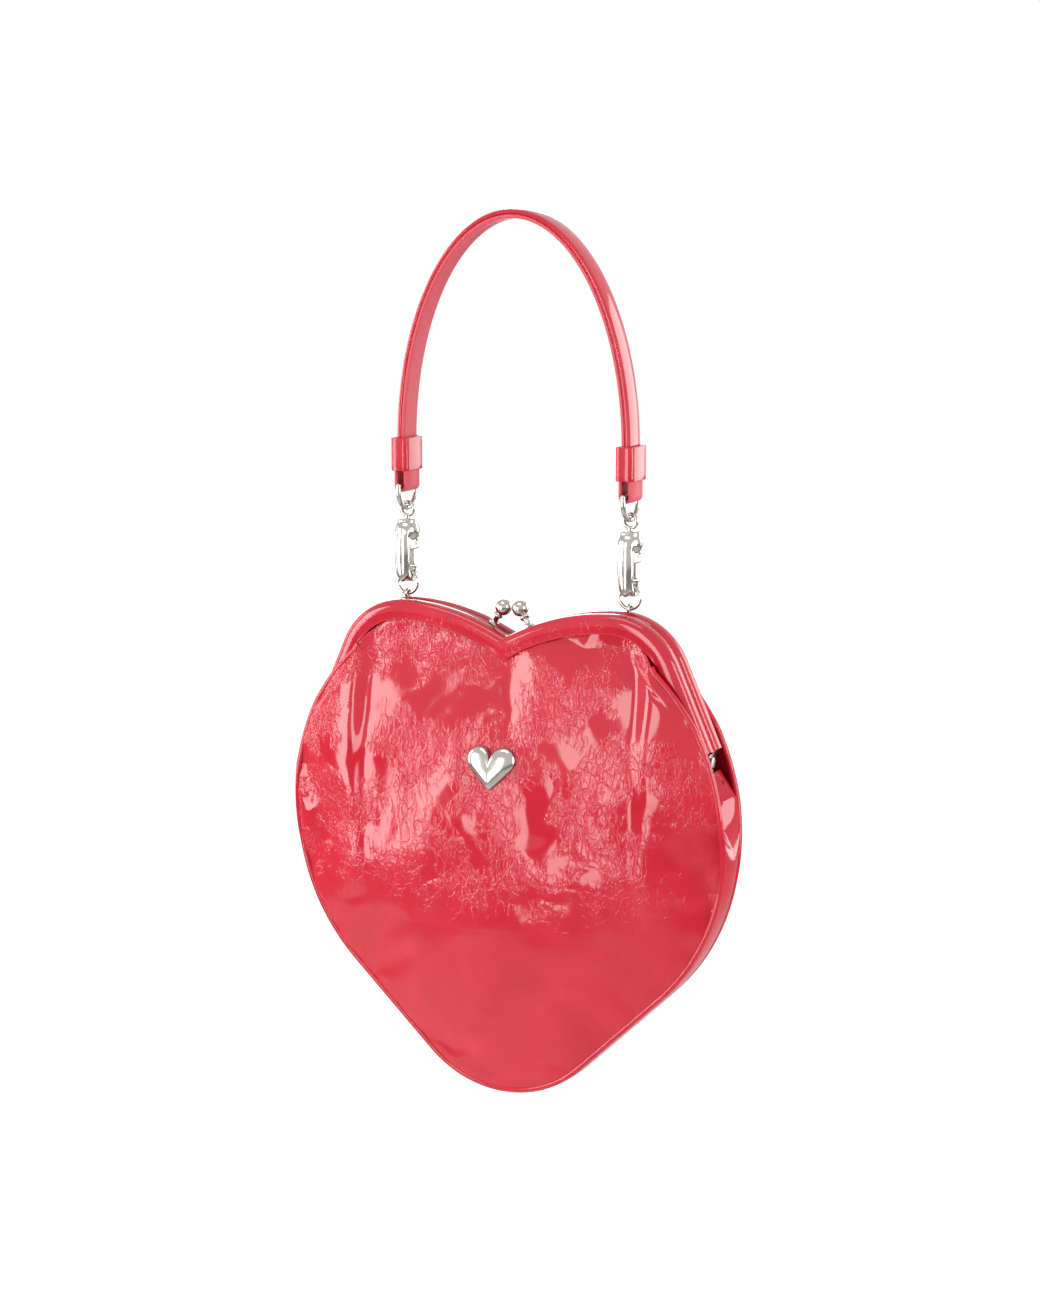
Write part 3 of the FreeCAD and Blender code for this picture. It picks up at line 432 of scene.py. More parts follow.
def panel_top(x, inset):
    """Upper edge of a panel: tucked into the frame, then out of it, then the free edge of the wing."""
    radius = UPPER_RADIUS - inset
    start_x = half_wide - UPPER_RADIUS + radius * math.cos(WING_TURN)
    start_z = widest + radius * math.sin(WING_TURN)
    if x <= grip:
        tuck = TUCK - (TUCK + CLEAR_BY) * smooth_step((x - grip + UNTUCK_FROM) / UNTUCK_RUN)
        return edge_height(math.hypot(x, DIP_SOFTNESS) if x < LOBE_OUT - 1 else x, BAND) + tuck
    if x <= start_x:
        share = (start_x - x) / (start_x - grip)
        grip_z = edge_height(grip, BAND) - CLEAR_BY
        return start_z + share * (grip_z - start_z) + WING_BULGE * math.sin(math.pi * share)
    return widest + math.sqrt(max(radius ** 2 - (x - half_wide + UPPER_RADIUS) ** 2, 0))


def panel_stand(x, z):
    """How far a panel's outside stands from the middle plane before it is blown up."""
    head = FRAME_OUT + (WING_OUT - FRAME_OUT) * smooth_step((x - grip + WING_FROM) / WING_RUN)
    low, high = low_edge(x, 0), panel_top(x, 0)
    up = (z - low) / (high - low)
    round_off = max(1 - (x / half_wide) ** 2, 0) ** SWELL_POWER
    bow = math.sin(math.pi * (z - low) / (lobe_top - SWELL_DROP - low))
    gathered = 1 - math.exp((z - high) / GATHER_DEPTH)
    return SEAM_OUT + (head - SEAM_OUT) * up + SWELL * round_off * bow * gathered


def rim_reach(z, inset):
    """Half the width of the heart at a height."""
    radius = SIDE_RADIUS if z < widest else UPPER_RADIUS
    return half_wide - radius + math.sqrt(max((radius - inset) ** 2 - (z - widest) ** 2, 0))


RIM_SHARE, RIM_POWER, RIM_FADE, CROWDING, TOP_INSET = 0.985, 10, 12, 0.4, 0.3
GATHER_BELOW, GATHER_RUN = 40.0, 90.0
CALM_SHARE, CALM_BELOW, CALM_RUN, HALVES_APART = 0.25, 65.0, 50.0, 40.0


def sheet_grid(name, columns, rows, top, inset, behind, facing, uneven):
    """A fine grid laid on the bowed heart, with its rim in a group and a map of its flat cut in metres."""
    deselect()
    bpy.ops.mesh.primitive_grid_add(x_subdivisions=columns, y_subdivisions=rows, size=2)
    sheet = bpy.context.object
    sheet.name = name
    rim = sheet.vertex_groups.new(name="rim")
    gather = sheet.vertex_groups.new(name="gather")
    width = RIM_SHARE * (half_wide - inset)
    for spot in sheet.data.vertices:
        across, up = spot.co.x, (spot.co.y + 1) / 2
        inside = min(1 - abs(across), 1 - abs(spot.co.y))
        x = width * (CROWDING * math.sin(0.5 * math.pi * across) + (1 - CROWDING) * across)
        low, high = low_edge(abs(x), inset), top(abs(x), inset) - TOP_INSET * inset
        z = low + up * (high - low)
        stand = panel_stand(abs(x), z) - behind
        side_low, side_high = low_edge(width, inset), top(width, inset)
        side_z = side_low + up * (side_high - side_low)
        x *= 1 + (rim_reach(side_z, inset) / width - 1) * abs(across) ** RIM_POWER
        place = Vector((x, z, facing * HALVES_APART))
        ripple = sum(height * noise.noise(place / size) for size, height in uneven.items())
        ripple *= CALM_SHARE + (1 - CALM_SHARE) * smooth_step((z - widest + CALM_BELOW) / CALM_RUN)
        spot.co = Vector((x, facing * (stand + ripple * min(inside * RIM_FADE, 1)), z)) * MM
        gather.add([spot.index], min(max((z - widest + GATHER_BELOW) / GATHER_RUN, 0), 1), "REPLACE")
        if inside < 1e-4:
            rim.add([spot.index], 1.0, "REPLACE")
    flat = sheet.data.uv_layers[0].data
    for loop in sheet.data.loops:
        place = sheet.data.vertices[loop.vertex_index].co
        flat[loop.index].uv = (place.x, place.z)
    if facing > 0:
        sheet.data.flip_normals()
    return sheet


def blown_up(sheet, frames, growth, pressure):
    """Let the leather, cut a little too large, buckle and swell within its sewn rim."""
    make_active(sheet)
    cloth = sheet.modifiers.new("Leather", "CLOTH")
    cloth.settings.quality = 8
    cloth.settings.mass = 0.15
    cloth.settings.tension_stiffness = cloth.settings.compression_stiffness = 15
    cloth.settings.shear_stiffness = 5
    cloth.settings.bending_stiffness = 1.0
    cloth.settings.air_damping = 5
    cloth.settings.vertex_group_mass = "rim"
    cloth.settings.vertex_group_shrink = "gather"
    cloth.settings.shrink_min = -0.1 * growth
    cloth.settings.shrink_max = -growth
    cloth.settings.use_pressure = True
    cloth.settings.uniform_pressure_force = pressure
    cloth.settings.effector_weights.gravity = 0
    cloth.collision_settings.use_collision = False
    cloth.collision_settings.use_self_collision = False
    for number in range(1, frames + 1):
        bpy.context.scene.frame_set(number)
    bpy.ops.object.modifier_apply(modifier="Leather")
    bpy.context.scene.frame_set(1)


def ride_panel(piece, half):
    """Rear leather rides on the rear half; front leather keeps its place, with its transform baked into the
    mesh and no parent.
    """
    if half == "rear":
        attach(piece, "rear_half")
    else:
        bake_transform(piece)


SMOOTH_DROP = 42.0
crinkled_patent = patent_leather("crinkled_patent_calf", "UV", crease_depth=0.18 * MM, slack_depth=0.9 * MM,
                                 smooth_below=(widest - SMOOTH_DROP) * MM)
panels = {}
for facing, half in ((-1, "front"), (1, "rear")):
    panel = sheet_grid(half + "_leather", columns=100, rows=92, top=panel_top, inset=0, behind=0,
                       facing=facing, uneven={12.0: 0.5, 34.0: 2.2})
    blown_up(panel, frames=10, growth=0.05, pressure=3.0)
    wall = panel.modifiers.new("Thickness", "SOLIDIFY")
    wall.thickness = PANEL_LEATHER * MM
    wall.offset = -1
    smoothing = panel.modifiers.new("Smoothing", "SUBSURF")
    smoothing.levels = smoothing.render_levels = 1
    apply_modifiers(panel)
    bpy.ops.object.shade_smooth()
    panel.data.materials.clear()
    panel.data.materials.append(crinkled_patent)
    panels[half] = panel
    ride_panel(panel, half)
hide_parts("front_panel_upper", "front_panel_fold", "front_panel_lower")
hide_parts("rear_panel")

# Gusset: a narrow strip of the same leather between the panels, sewn edge to edge with them.
# It shows as a rounded band round the heart and folds inwards where it runs up to the hinges.
GUSSET_TURN, GUSSET_BULGE, STRIP_PITCH = math.radians(10), 0.9, 5.0
TIP_STEPS, SIDE_STEPS, WING_STEPS, RUN_STEPS = 14, 20, 14, 20
SPREAD_BELOW, SPREAD_RUN = 16.0, 34.0
END_OUT, END_DROP, END_STEPS = 1.0, 5.0, 7
INFOLD, INFOLD_POWER, INFOLD_BELOW, INFOLD_RUN = 8.0, 1.3, 6.0, 26.0
FRONT_GIVE, GIVE_BELOW, GIVE_RUN = 5.0, 16.0, 11.0


def arc(middle_x, middle_z, radius, begin, finish, steps):
    """Points along an arc of the XZ plane."""
    turns = [begin + (finish - begin) * step / steps for step in range(steps + 1)]
    return [(middle_x + radius * math.cos(turn), middle_z + radius * math.sin(turn)) for turn in turns]


def straight_run(begin, finish, steps):
    """Points of the XZ plane on from begin, up to finish."""
    (from_x, from_z), (to_x, to_z) = begin, finish
    return [(from_x + (to_x - from_x) * step / steps, from_z + (to_z - from_z) * step / steps)
            for step in range(1, steps + 1)]


def rim_line(inset, top_turn):
    """Right half of the heart's lower rim, from the tip round the side to the wing."""
    at_tip = arc(0, tip + TIP_RADIUS, TIP_RADIUS - inset, -math.pi / 2, side_turn, TIP_STEPS)
    at_side = arc(half_wide - SIDE_RADIUS, widest, SIDE_RADIUS - inset, side_turn, 0, SIDE_STEPS)
    above = arc(half_wide - UPPER_RADIUS, widest, UPPER_RADIUS - inset, 0, top_turn, WING_STEPS)
    return at_tip + straight_run(at_tip[-1], at_side[0], RUN_STEPS) + at_side[1:] + above[1:]


def rim_stand(z):
    """How far the rims of the panels stand from the middle plane: close below, spread at the wings."""
    return SEAM_OUT + (WING_OUT - SEAM_OUT) * min(max((z - widest + SPREAD_BELOW) / SPREAD_RUN, 0), 1)


def folded_strip(name, inset, narrower, thickness):
    """A strip along the rim, from hinge round the tip to hinge, that folds inwards towards its ends."""
    line = rim_line(inset, GUSSET_TURN)
    line += straight_run(line[-1], (hinge_out + END_OUT - inset, hinge - END_DROP), END_STEPS)
    line = [(-x, z) for x, z in reversed(line[1:])] + line
    deselect()
    bpy.ops.mesh.primitive_grid_add(x_subdivisions=len(line) - 1, y_subdivisions=16, size=2)
    strip = bpy.context.object
    strip.name = name
    for spot in strip.data.vertices:
        number, across = round((spot.co.x + 1) / 2 * (len(line) - 1)), spot.co.y
        (back_x, back_z), (fore_x, fore_z) = line[max(number - 1, 0)], line[min(number + 1, len(line) - 1)]
        way = Vector((fore_x - back_x, 0, fore_z - back_z)).normalized()
        x, z = line[number]
        folded = smooth_step((z - widest + INFOLD_BELOW) / INFOLD_RUN)
        lowered = FRONT_GIVE * max(-across, 0) * smooth_step((z - hinge + GIVE_BELOW) / GIVE_RUN)
        fold = INFOLD * folded * (1 - abs(across)) ** INFOLD_POWER
        bulge = GUSSET_BULGE * (1 - folded) * (1 - across ** 2)
        inward = Vector((-way.z, 0, way.x)) * (fold - bulge)
        spot.co = (Vector((x, across * (rim_stand(z) - narrower), z - lowered)) + inward) * MM
    flat = strip.data.uv_layers[0].data
    for loop in strip.data.loops:
        spot = strip.data.vertices[loop.vertex_index]
        flat[loop.index].uv = (spot.index % len(line) * STRIP_PITCH * MM, spot.co.y)
    area = sum(face.area for face in strip.data.polygons)
    wall = strip.modifiers.new("Thickness", "SOLIDIFY")
    wall.thickness = thickness * MM
    wall.offset = 0
    apply_modifiers(strip)
    tidy_mesh(strip, sharp=60)
    strip.data.materials.clear()
    return strip, area


gusset_strip = folded_strip("gusset_strip", inset=0.3, narrower=0.9, thickness=1.0)[0]
gusset_strip.data.materials.append(smooth_patent)
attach(gusset_strip, "rear_half")
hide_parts("gusset")

# Welts: the edge of each panel, turned over a thin cord and sewn down, so that a roll of leather
# stands along the seam with the gusset and along the free edge of the wings.
WELT_RADIUS, WELT_SUNK, WELT_INSET, WELT_SIDES = 1.3, 0.3, 0.5, 10
FREE_STEPS, FREE_END = 14, 1.5
for facing, half in ((-1, "front"), (1, "rear")):
    way = [(x, facing * (rim_stand(z) - WELT_SUNK), z) for x, z in rim_line(WELT_INSET, WING_TURN)]
    start_x = way[-1][0]
    for step in range(1, FREE_STEPS + 1):
        x = start_x + (grip - FREE_END - start_x) * step / FREE_STEPS
        z = panel_top(x, 0)
        way.append((x, facing * (panel_stand(x, z) - WELT_SUNK), z - WELT_INSET))
    way = [(-x, y, z) for x, y, z in reversed(way[1:])] + way
    turns = [2 * math.pi * step / WELT_SIDES for step in range(WELT_SIDES)]
    ring = [(WELT_RADIUS * math.cos(turn), WELT_RADIUS * math.sin(turn)) for turn in turns]
    welt = swept(half + "_welt", way, ring)
    welt.data.materials.append(smooth_patent)
    ride_panel(welt, half)

# Lining: plain cotton twill cut like the panels, hung inside from the packing in the frame,
# with a slip pocket sewn to its rear half and a strip of the same cloth inside the gusset.
# It hangs slack beside the hinges, where the front bends as the frame opens.
LINING_INSET, LINING_BEHIND, LINING_DROP, TWILL = 3.5, 4.3, 8.0, 0.5
LINING_SLACK, SLACK_FROM, SLACK_RUN, SLACK_UP, SLACK_REACH = 4.0, 42.0, 15.0, 18.0, 24.0

# Cotton twill: a dull wine red without shine, ribbed on the slant.
cotton_twill = new_material("cotton_twill_lining")
spot = add_node(cotton_twill, "TexCoord", {}).outputs["UV"]
rib_pitch = 1.2 * MM
ribs = add_node(cotton_twill, "TexWave",
                {"Scale": 0.314 / rib_pitch, "bands_direction": "DIAGONAL", "Detail": 1.0},
                [("Vector", spot)])
dye = add_node(cotton_twill, "ValToRGB", {}, [("Fac", ribs.outputs["Fac"])])
dye.color_ramp.elements[0].color = linear("#6E1A26")
dye.color_ramp.elements[1].color = linear("#8A2836")
weave = add_node(cotton_twill, "Bump", {"Strength": 0.4, "Distance": 0.15 * MM},
                 [("Height", ribs.outputs["Fac"])])
shader = add_node(cotton_twill, "BsdfPrincipled", {"Roughness": 0.9, "Sheen Weight": 0.3},
                  [("Base Color", dye.outputs["Color"]), ("Normal", weave.outputs["Normal"])])
add_node(cotton_twill, "OutputMaterial", {}, [("Surface", shader.outputs["BSDF"])])


def lining_top(x, inset):
    """Upper edge of the lining: into the packing, then down inside the flank of the frame to the hinge."""
    if x <= grip:
        return panel_top(x, inset)
    beside_flank = panel_top(grip, inset) - (x - grip) / math.tan(FLANK_LEAN)
    return min(panel_top(x, inset), max(beside_flank, hinge - LINING_DROP))


def cloth_finish(sheet, name):
    """Give a sheet of lining its thickness and material, and return the area of cloth in it."""
    area = sum(face.area for face in sheet.data.polygons)
    wall = sheet.modifiers.new("Thickness", "SOLIDIFY")
    wall.thickness = TWILL * MM
    wall.offset = -1
    apply_modifiers(sheet)
    bpy.ops.object.shade_smooth()
    sheet.data.materials.clear()
    sheet.data.materials.append(cotton_twill)
    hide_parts(name)
    return area


for facing, half in ((-1, "front"), (1, "rear")):
    lining = sheet_grid(half + "_twill", columns=56, rows=50, top=lining_top, inset=LINING_INSET,
                        behind=LINING_BEHIND, facing=facing, uneven={20.0: 0.5})
    for spot in lining.data.vertices:
        beside = smooth_step((abs(spot.co.x) / MM - SLACK_FROM) / SLACK_RUN)
        in_bend = smooth_step(1 - abs(spot.co.z / MM - hinge - SLACK_UP) / SLACK_REACH)
        spot.co.y -= facing * LINING_SLACK * beside * in_bend * MM
    area = cloth_finish(lining, half + "_lining")
    ride_panel(lining, half)
strip, area = folded_strip("gusset_twill", inset=2.4, narrower=2.2, thickness=TWILL)
strip.data.materials.append(cotton_twill)
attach(strip, "rear_half")
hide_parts("gusset_lining")

POCKET_OFF, POCKET_GAPE, POCKET_SCALE = 0.7, 1.5, 30.0
pocket_low, pocket_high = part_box("inner_pocket")
deselect()
bpy.ops.mesh.primitive_grid_add(x_subdivisions=24, y_subdivisions=18, size=2)
pocket = bpy.context.object
pocket.name = "slip_pocket"
flat = pocket.data.uv_layers[0].data
for loop in pocket.data.loops:
    spot = pocket.data.vertices[loop.vertex_index]
    flat[loop.index].uv = [value * POCKET_SCALE * MM for value in spot.co.xy]
for spot in pocket.data.vertices:
    across, up = spot.co.x, (spot.co.y + 1) / 2
    x, z = across * pocket_high.x, pocket_low.z + up * (pocket_high.z - pocket_low.z)
    wall_at = lining.ray_cast(Vector((x, 0, z)), Vector((0, 1, 0)))[1]
    spot.co = (x, wall_at.y - (POCKET_OFF + POCKET_GAPE * (1 - across ** 2) * up ** 3) * MM, z)
area = cloth_finish(pocket, "inner_pocket")
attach(pocket, "rear_half")

# Front ornament: a plain puffed heart, stamped from brass and nickelled.
# A pin through the leather and a washer behind it hold the heart flat against the panel.
STUD_LOBE, STUD_MIDDLE, STUD_LIFT, SEAT_SPAN = 5.5, -3.6, 0.2, 7 * MM
LOBE_ARC, LOBE_STEPS, POINT_STEPS = math.radians(225), 15, 6
STUD_RINGS = [(1.0, -1.2), (1.0, 0.5), (0.985, 0.95), (0.94, 1.6), (0.86, 2.2), (0.75, 2.7), (0.6, 3.1),
              (0.42, 3.35), (0.22, 3.5), (0.06, 3.55)]
stud_low, stud_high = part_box("heart_stud")
half_heart = [(STUD_LOBE - STUD_LOBE * math.cos(turn), STUD_LOBE * math.sin(turn))
              for turn in (LOBE_ARC * step / LOBE_STEPS for step in range(LOBE_STEPS + 1))]
end_x, end_y = half_heart[-1]
stud_tip = -STUD_LOBE * (1 + math.sqrt(2))
half_heart += [(end_x * (1 - step / POINT_STEPS), end_y + (stud_tip - end_y) * step / POINT_STEPS)
               for step in range(1, POINT_STEPS + 1)]
heart = half_heart + [(-x, y) for x, y in reversed(half_heart[1:-1])]
deselect()
bpy.ops.mesh.primitive_circle_add(vertices=len(heart), radius=1, fill_type="NGON")
stud = bpy.context.object
stud.name = "puffed_heart"
for spot, (x, y) in zip(stud.data.vertices, heart):
    spot.co = Vector((x, y - STUD_MIDDLE, STUD_RINGS[0][1])) * MM
draw_up(STUD_RINGS)
stud_z = (stud_low.z + stud_high.z) / 2


def leather_at(x, z):
    """The outside of the front panel straight behind a point."""
    return panels["front"].ray_cast(Vector((x, -0.2, z)), Vector((0, 1, 0)))[1]


over, under = leather_at(0, stud_z + SEAT_SPAN), leather_at(0, stud_z - SEAT_SPAN)
left, right = leather_at(-SEAT_SPAN, stud_z), leather_at(SEAT_SPAN, stud_z)
up_way, right_way = (over - under).normalized(), (right - left).normalized()
outward = right_way.cross(up_way).normalized()
seat = (over + under + left + right) / 4
make_active(stud)
stud.matrix_world = Matrix((right_way, outward.cross(right_way), outward)).transposed().to_4x4()
stud.location = seat + outward * STUD_LIFT * MM
bpy.ops.object.transform_apply()
tidy_mesh(stud, sharp=50)
puffing = stud.modifiers.new("Puffing", "SUBSURF")
puffing.levels = puffing.render_levels = 2
apply_modifiers(stud)
bpy.ops.object.shade_smooth()
stud.data.materials.append(polished_nickel)
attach(stud, "rear_half")
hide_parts("heart_stud")
dress(polished_nickel, "stud_washer")

# Snap hooks: zinc cast bodies with a round head that turns on a swivel eye, each with a sprung gate.
# Castings are tumbled before plating, so every edge is soft.
VOXEL, HOOK_TUMBLING, LEVER_TUMBLING = 0.28, 40, 12
HEAD_SIZES, HEAD_DOWN = (5.3, 5.9, 4.7), 4.9
SPINE_SIZES, SPINE_IN, SPINE_DOWN = (3.7, 2.0, 12.0), 0.9, 1.5


def cast_copy(name, node, lumps, softness):
    """A casting: the worked shape and rounded lumps (place, half sizes) run together and softened."""
    piece = bpy.data.objects.new(name, nodes[node].data.copy())
    bpy.context.scene.collection.objects.link(piece)
    joined = [piece]
    for place, sizes in lumps:
        deselect()
        bpy.ops.mesh.primitive_uv_sphere_add(segments=32, ring_count=16, radius=MM,
                                             location=Vector(place) * MM, scale=sizes)
        joined.append(bpy.context.object)
    make_active(piece)
    for lump in joined:
        lump.select_set(True)
    bpy.ops.object.join()
    casting = piece.modifiers.new("Casting", "REMESH")
    casting.mode = "VOXEL"
    casting.voxel_size = VOXEL * MM
    tumbling = piece.modifiers.new("Tumbling", "SMOOTH")
    tumbling.factor = 0.5
    tumbling.iterations = softness
    apply_modifiers(piece)
    bpy.ops.object.shade_smooth()
    piece.data.materials.clear()
    piece.data.materials.append(polished_nickel)
    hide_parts(node)
    return piece


for hand in ("left", "right"):
    low, high = (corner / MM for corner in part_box(hand + "_hook_body"))
    middle = (low + high) / 2
    head = ((middle.x, middle.y, high.z - HEAD_DOWN), HEAD_SIZES)
    spine = ((middle.x, low.y + SPINE_IN, middle.z - SPINE_DOWN), SPINE_SIZES)
    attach(cast_copy(hand + "_hook", hand + "_hook_body", (head, spine), HOOK_TUMBLING), hand + "_link")
    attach(cast_copy(hand + "_lever", hand + "_hook_gate", (), LEVER_TUMBLING), hand + "_gate")
    dress(polished_nickel, hand + "_gate_pin", hand + "_swivel_eye", hand + "_d_ring")

# Handle: an outer strip of patent leather and an inner strip of plain calf, glued and bent into an arch.
# Its ends and the folded tabs are held together by patent leather keepers.
ring_low, ring_high = (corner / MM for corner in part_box("left_d_ring"))
reach = -(ring_low.x + ring_high.x) / 2
setback = (ring_low.y + ring_high.y) / 2
strap_box = [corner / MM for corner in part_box("handle_strap")]
arch_foot = strap_box[0].z
OUTER_LAYER, INNER_LAYER, STRAP_HALF, INNER_NARROWER, ARCH_STEPS = 2.2, 1.8, 6.0, 0.2, 96
arch_height = strap_box[1].z - (OUTER_LAYER + INNER_LAYER) / 2 - arch_foot


def arch_path(away):
    """Half an ellipse from the left foot over the top to the right foot, away from the strap's middle."""
    turns = [math.pi * step / ARCH_STEPS for step in range(ARCH_STEPS + 1)]
    return [(-(reach + away) * math.cos(turn), setback, arch_foot + (arch_height + away) * math.sin(turn))
            for turn in turns]


def rounded_strip(half, low, high, bulge):
    """Section of a strip: flat below, a little raised above, with rounded edges."""
    edge = [(half - 0.5, low), (half - 0.1, low + 0.3), (half, (low + high) / 2), (half - 0.2, high - 0.3)]
    sides = [1 - 2 * step / 10 for step in range(11)]
    face = [((half - 0.7) * side, high + bulge * (1 - side ** 2)) for side in sides]
    return edge + face + [(-across, up) for across, up in reversed(edge)]


def plain_calf(name, dark, pale):
    """Matte calf: the same red without lacquer, a soft chalky sheen over close pores."""
    material = new_material(name)
    place = add_node(material, "TexCoord", {})
    pore_size = 0.9 * MM
    pores = add_node(material, "TexVoronoi", {"Scale": 1 / pore_size}, [("Vector", place.outputs["Object"])])
    shade = add_node(material, "ValToRGB", {}, [("Fac", pores.outputs["Distance"])])
    shade.color_ramp.elements[0].color = linear(dark)
    shade.color_ramp.elements[1].color = linear(pale)
    bump = add_node(material, "Bump", {"Strength": 0.3, "Distance": 0.1 * MM},
                    [("Height", pores.outputs["Distance"])])
    shader = add_node(material, "BsdfPrincipled", {"Roughness": 0.55, "Sheen Weight": 0.1},
                      [("Base Color", shade.outputs["Color"]), ("Normal", bump.outputs["Normal"])])
    add_node(material, "OutputMaterial", {}, [("Surface", shader.outputs["BSDF"])])
    return material


flat_patent = patent_leather("flat_patent_calf", "Object", crease_depth=0.004 * MM, slack_depth=0.1 * MM)
matte_calf = plain_calf("matte_calf", dark="#D84656", pale="#E35866")
outer_strip = swept("strap_outer", arch_path(INNER_LAYER / 2),
                    rounded_strip(STRAP_HALF, low=-OUTER_LAYER / 2, high=0.8, bulge=0.3))
outer_strip.data.materials.append(flat_patent)
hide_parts("handle_strap")
inner_section = rounded_strip(STRAP_HALF - INNER_NARROWER, low=-INNER_LAYER / 2, high=0.8, bulge=0.1)
inner_strip = swept("strap_inner", arch_path(-OUTER_LAYER / 2),
                    [(across, -up) for across, up in reversed(inner_section)])
inner_strip.data.materials.append(matte_calf)
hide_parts("handle_strap_lining")
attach(outer_strip, "handle")
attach(inner_strip, "handle")

TAB_HALF, TAB_MIDDLE, TAB_LEATHER, RING_WIRE = 6.3, 2.1, 1.4, 1.1
LEG_STEPS, BEND_STEPS = 6, 12
KEEPER_ROUND, KEEPER_LEATHER, KEEPER_EDGE = 2.2, 1.1, 0.35
CORNER_STEPS, FALL_STEPS = 5, 8
bar = ring_high.z - RING_WIRE
for side, hand in ((-1, "left"), (1, "right")):
    tab_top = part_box(hand + "_tab")[1].z / MM
    loop = [(side * reach - TAB_MIDDLE, setback, tab_top + (bar - tab_top) * step / LEG_STEPS)
            for step in range(LEG_STEPS)]
    loop += [(side * reach + TAB_MIDDLE * math.cos(turn), setback, bar + TAB_MIDDLE * math.sin(turn))
             for turn in (math.pi + math.pi * step / BEND_STEPS for step in range(BEND_STEPS + 1))]
    loop += [(side * reach + TAB_MIDDLE, setback, bar + (tab_top - bar) * step / LEG_STEPS)
             for step in range(1, LEG_STEPS + 1)]
    tab_section = rounded_strip(TAB_HALF, low=-TAB_LEATHER / 2, high=TAB_LEATHER / 2, bulge=0)
    tab = swept(hand + "_tab_loop", loop, [(up, across) for across, up in tab_section])
    tab.data.materials.append(matte_calf)
    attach(tab, "handle")
    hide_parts(hand + "_tab")

    low, high = (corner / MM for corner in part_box(hand + "_keeper"))
    middle, half_x, half_y = (low + high) / 2, (high.x - low.x) / 2, (high.y - low.y) / 2
    round_box = []
    for corner_x, corner_y, begin in ((1, 1, 0), (-1, 1, 90), (-1, -1, 180), (1, -1, 270)):
        for step in range(CORNER_STEPS + 1):
            turn = math.radians(begin + 90 * step / CORNER_STEPS)
            round_box.append((corner_x * (half_x - KEEPER_ROUND) + KEEPER_ROUND * math.cos(turn),
                              corner_y * (half_y - KEEPER_ROUND) + KEEPER_ROUND * math.sin(turn)))
    fall = [(middle.x, middle.y, high.z + (low.z - high.z) * step / FALL_STEPS)
            for step in range(FALL_STEPS + 1)]
    sleeve = swept(hand + "_keeper_sleeve", fall, round_box, capped=False)
    wall = sleeve.modifiers.new("Wall", "SOLIDIFY")
    wall.thickness = KEEPER_LEATHER * MM
    wall.offset = -1
    rounding = sleeve.modifiers.new("Rounding", "BEVEL")
    rounding.width = KEEPER_EDGE * MM
    rounding.segments = 2
    rounding.limit_method = "ANGLE"
    rounding.angle_limit = math.radians(50)
    apply_modifiers(sleeve)
    tidy_mesh(sleeve, sharp=50)
    sleeve.data.materials.append(flat_patent)
    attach(sleeve, "handle")
    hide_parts(hand + "_keeper")

# Studio: a pale paper floor far below the hanging bag and white all round, with soft boxes on every side.
# Floor and backdrop show white; what falls on the bag comes from the boxes and a weak fill. A gap
# between the two front boxes leaves smooth leather dark, while its creases catch their light.
FLOOR_DEPTH, FLOOR_SIZE = -0.85, 12.0
scene = bpy.context.scene
deselect()
bpy.ops.mesh.primitive_plane_add(size=FLOOR_SIZE, location=(0, 0, FLOOR_DEPTH))
floor = bpy.context.object
floor.name = "floor"
white_paper = new_material("white_paper_floor")
ray = add_node(white_paper, "LightPath", {})
paper = add_node(white_paper, "BsdfDiffuse", {"Color": linear("#E4E4E4")})
spot = add_node(white_paper, "TexCoord", {}).outputs["Object"]
away = add_node(white_paper, "VectorMath", {"operation": "LENGTH"}, [(0, spot)])
near = add_node(white_paper, "MapRange", {"From Min": 0.8, "From Max": 2.0, "To Min": 0.7, "To Max": 1.0},
                [("Value", away.outputs["Value"])])
mirrored = add_node(white_paper, "Math", {"operation": "MULTIPLY", 1: 0.15},
                    [(0, ray.outputs["Is Glossy Ray"])])
lift = add_node(white_paper, "Math", {"operation": "MULTIPLY_ADD"},
                [(0, ray.outputs["Is Camera Ray"]), (1, near.outputs[0]), (2, mirrored.outputs[0])])
glow = add_node(white_paper, "Emission", {"Color": linear("#FFFFFF")}, [("Strength", lift.outputs[0])])
shown = add_node(white_paper, "AddShader", {}, [(0, paper.outputs[0]), (1, glow.outputs[0])])
add_node(white_paper, "OutputMaterial", {}, [("Surface", shown.outputs[0])])
floor.data.materials.append(white_paper)

world = bpy.data.worlds.new("studio")
world.use_nodes = True
world.node_tree.nodes.clear()
scene.world = world
ray = add_node(world, "LightPath", {})
seen = add_node(world, "Math", {"operation": "MAXIMUM"},
                [(0, ray.outputs["Is Camera Ray"]), (1, ray.outputs["Is Glossy Ray"])])
level = add_node(world, "MapRange", {"To Min": 0.25, "To Max": 1.0}, [("Value", seen.outputs[0])])
backdrop = add_node(world, "Background", {"Color": linear("#FFFFFF")},
                    [("Strength", level.outputs["Result"])])
add_node(world, "OutputWorld", {}, [("Surface", backdrop.outputs[0])])

heart_middle = Vector((0, 0, widest * MM))
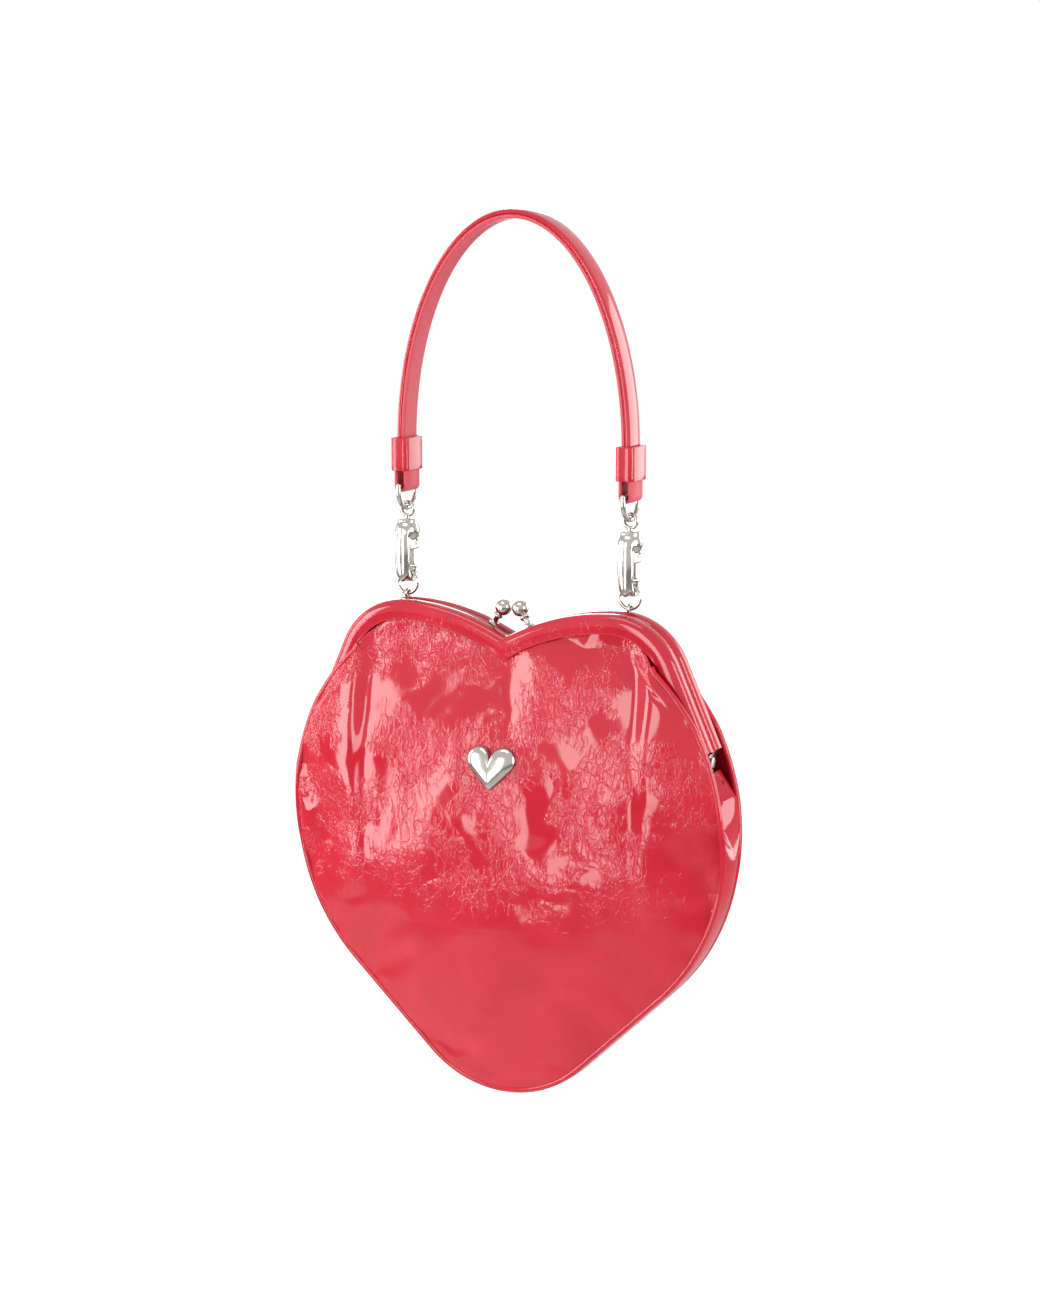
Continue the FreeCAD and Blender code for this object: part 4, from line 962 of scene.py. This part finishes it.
# Each box: bearing and rise in degrees as seen from the heart, distance, width and height, brightness.
soft_boxes = (
    ("front_left_box", -46, 2, 1.1, (0.36, 0.80), 7.2),
    ("front_right_box", -11, 0, 1.1, (0.22, 0.80), 6.0),
    ("left_box", -80, 8, 1.1, (0.35, 0.80), 3.0),
    ("right_box", 84, 10, 1.1, (0.45, 0.80), 7.0),
    ("back_left_box", -148, 8, 1.2, (0.50, 0.80), 3.5),
    ("back_right_box", 150, 8, 1.2, (0.50, 0.80), 3.0),
    ("top_box", -10, 72, 1.0, (0.60, 0.40), 3.0),
)
for name, bearing, rise, distance, size, brightness in soft_boxes:
    lamp = bpy.data.lights.new(name, "AREA")
    lamp.shape = "RECTANGLE"
    lamp.size, lamp.size_y = size
    lamp.energy = brightness * math.pi * size[0] * size[1]
    box = bpy.data.objects.new(name, lamp)
    turn, climb = math.radians(bearing), math.radians(rise)
    toward = Vector((math.sin(turn) * math.cos(climb), -math.cos(turn) * math.cos(climb), math.sin(climb)))
    box.location = heart_middle + toward * distance
    box.rotation_euler = toward.to_track_quat("Z", "Y").to_euler()
    scene.collection.objects.link(box)

# Camera: to the right of the front and level with the handle, looking a little down.
# Its focal length is kept in pixels of a picture that is 1300 tall.
CAMERA_TURN, CAMERA_DISTANCE, CAMERA_HEIGHT = math.radians(26), 1.075, 0.005
CAMERA_PITCH, CAMERA_YAW = math.radians(9.62), math.radians(0.18)
PICTURE_FOCUS, PICTURE_TALL, SENSOR_TALL = 2621.0, 1300.0, 36.0
lens = bpy.data.cameras.new("camera")
lens.sensor_fit = "VERTICAL"
lens.sensor_height = SENSOR_TALL
lens.lens = SENSOR_TALL * PICTURE_FOCUS / PICTURE_TALL
camera = bpy.data.objects.new("camera", lens)
camera.location = (CAMERA_DISTANCE * math.sin(CAMERA_TURN), -CAMERA_DISTANCE * math.cos(CAMERA_TURN),
                   CAMERA_HEIGHT)
camera.rotation_euler = (math.pi / 2 - CAMERA_PITCH, 0, CAMERA_TURN - CAMERA_YAW)
scene.collection.objects.link(camera)
scene.camera = camera
scene.view_settings.view_transform = "Standard"
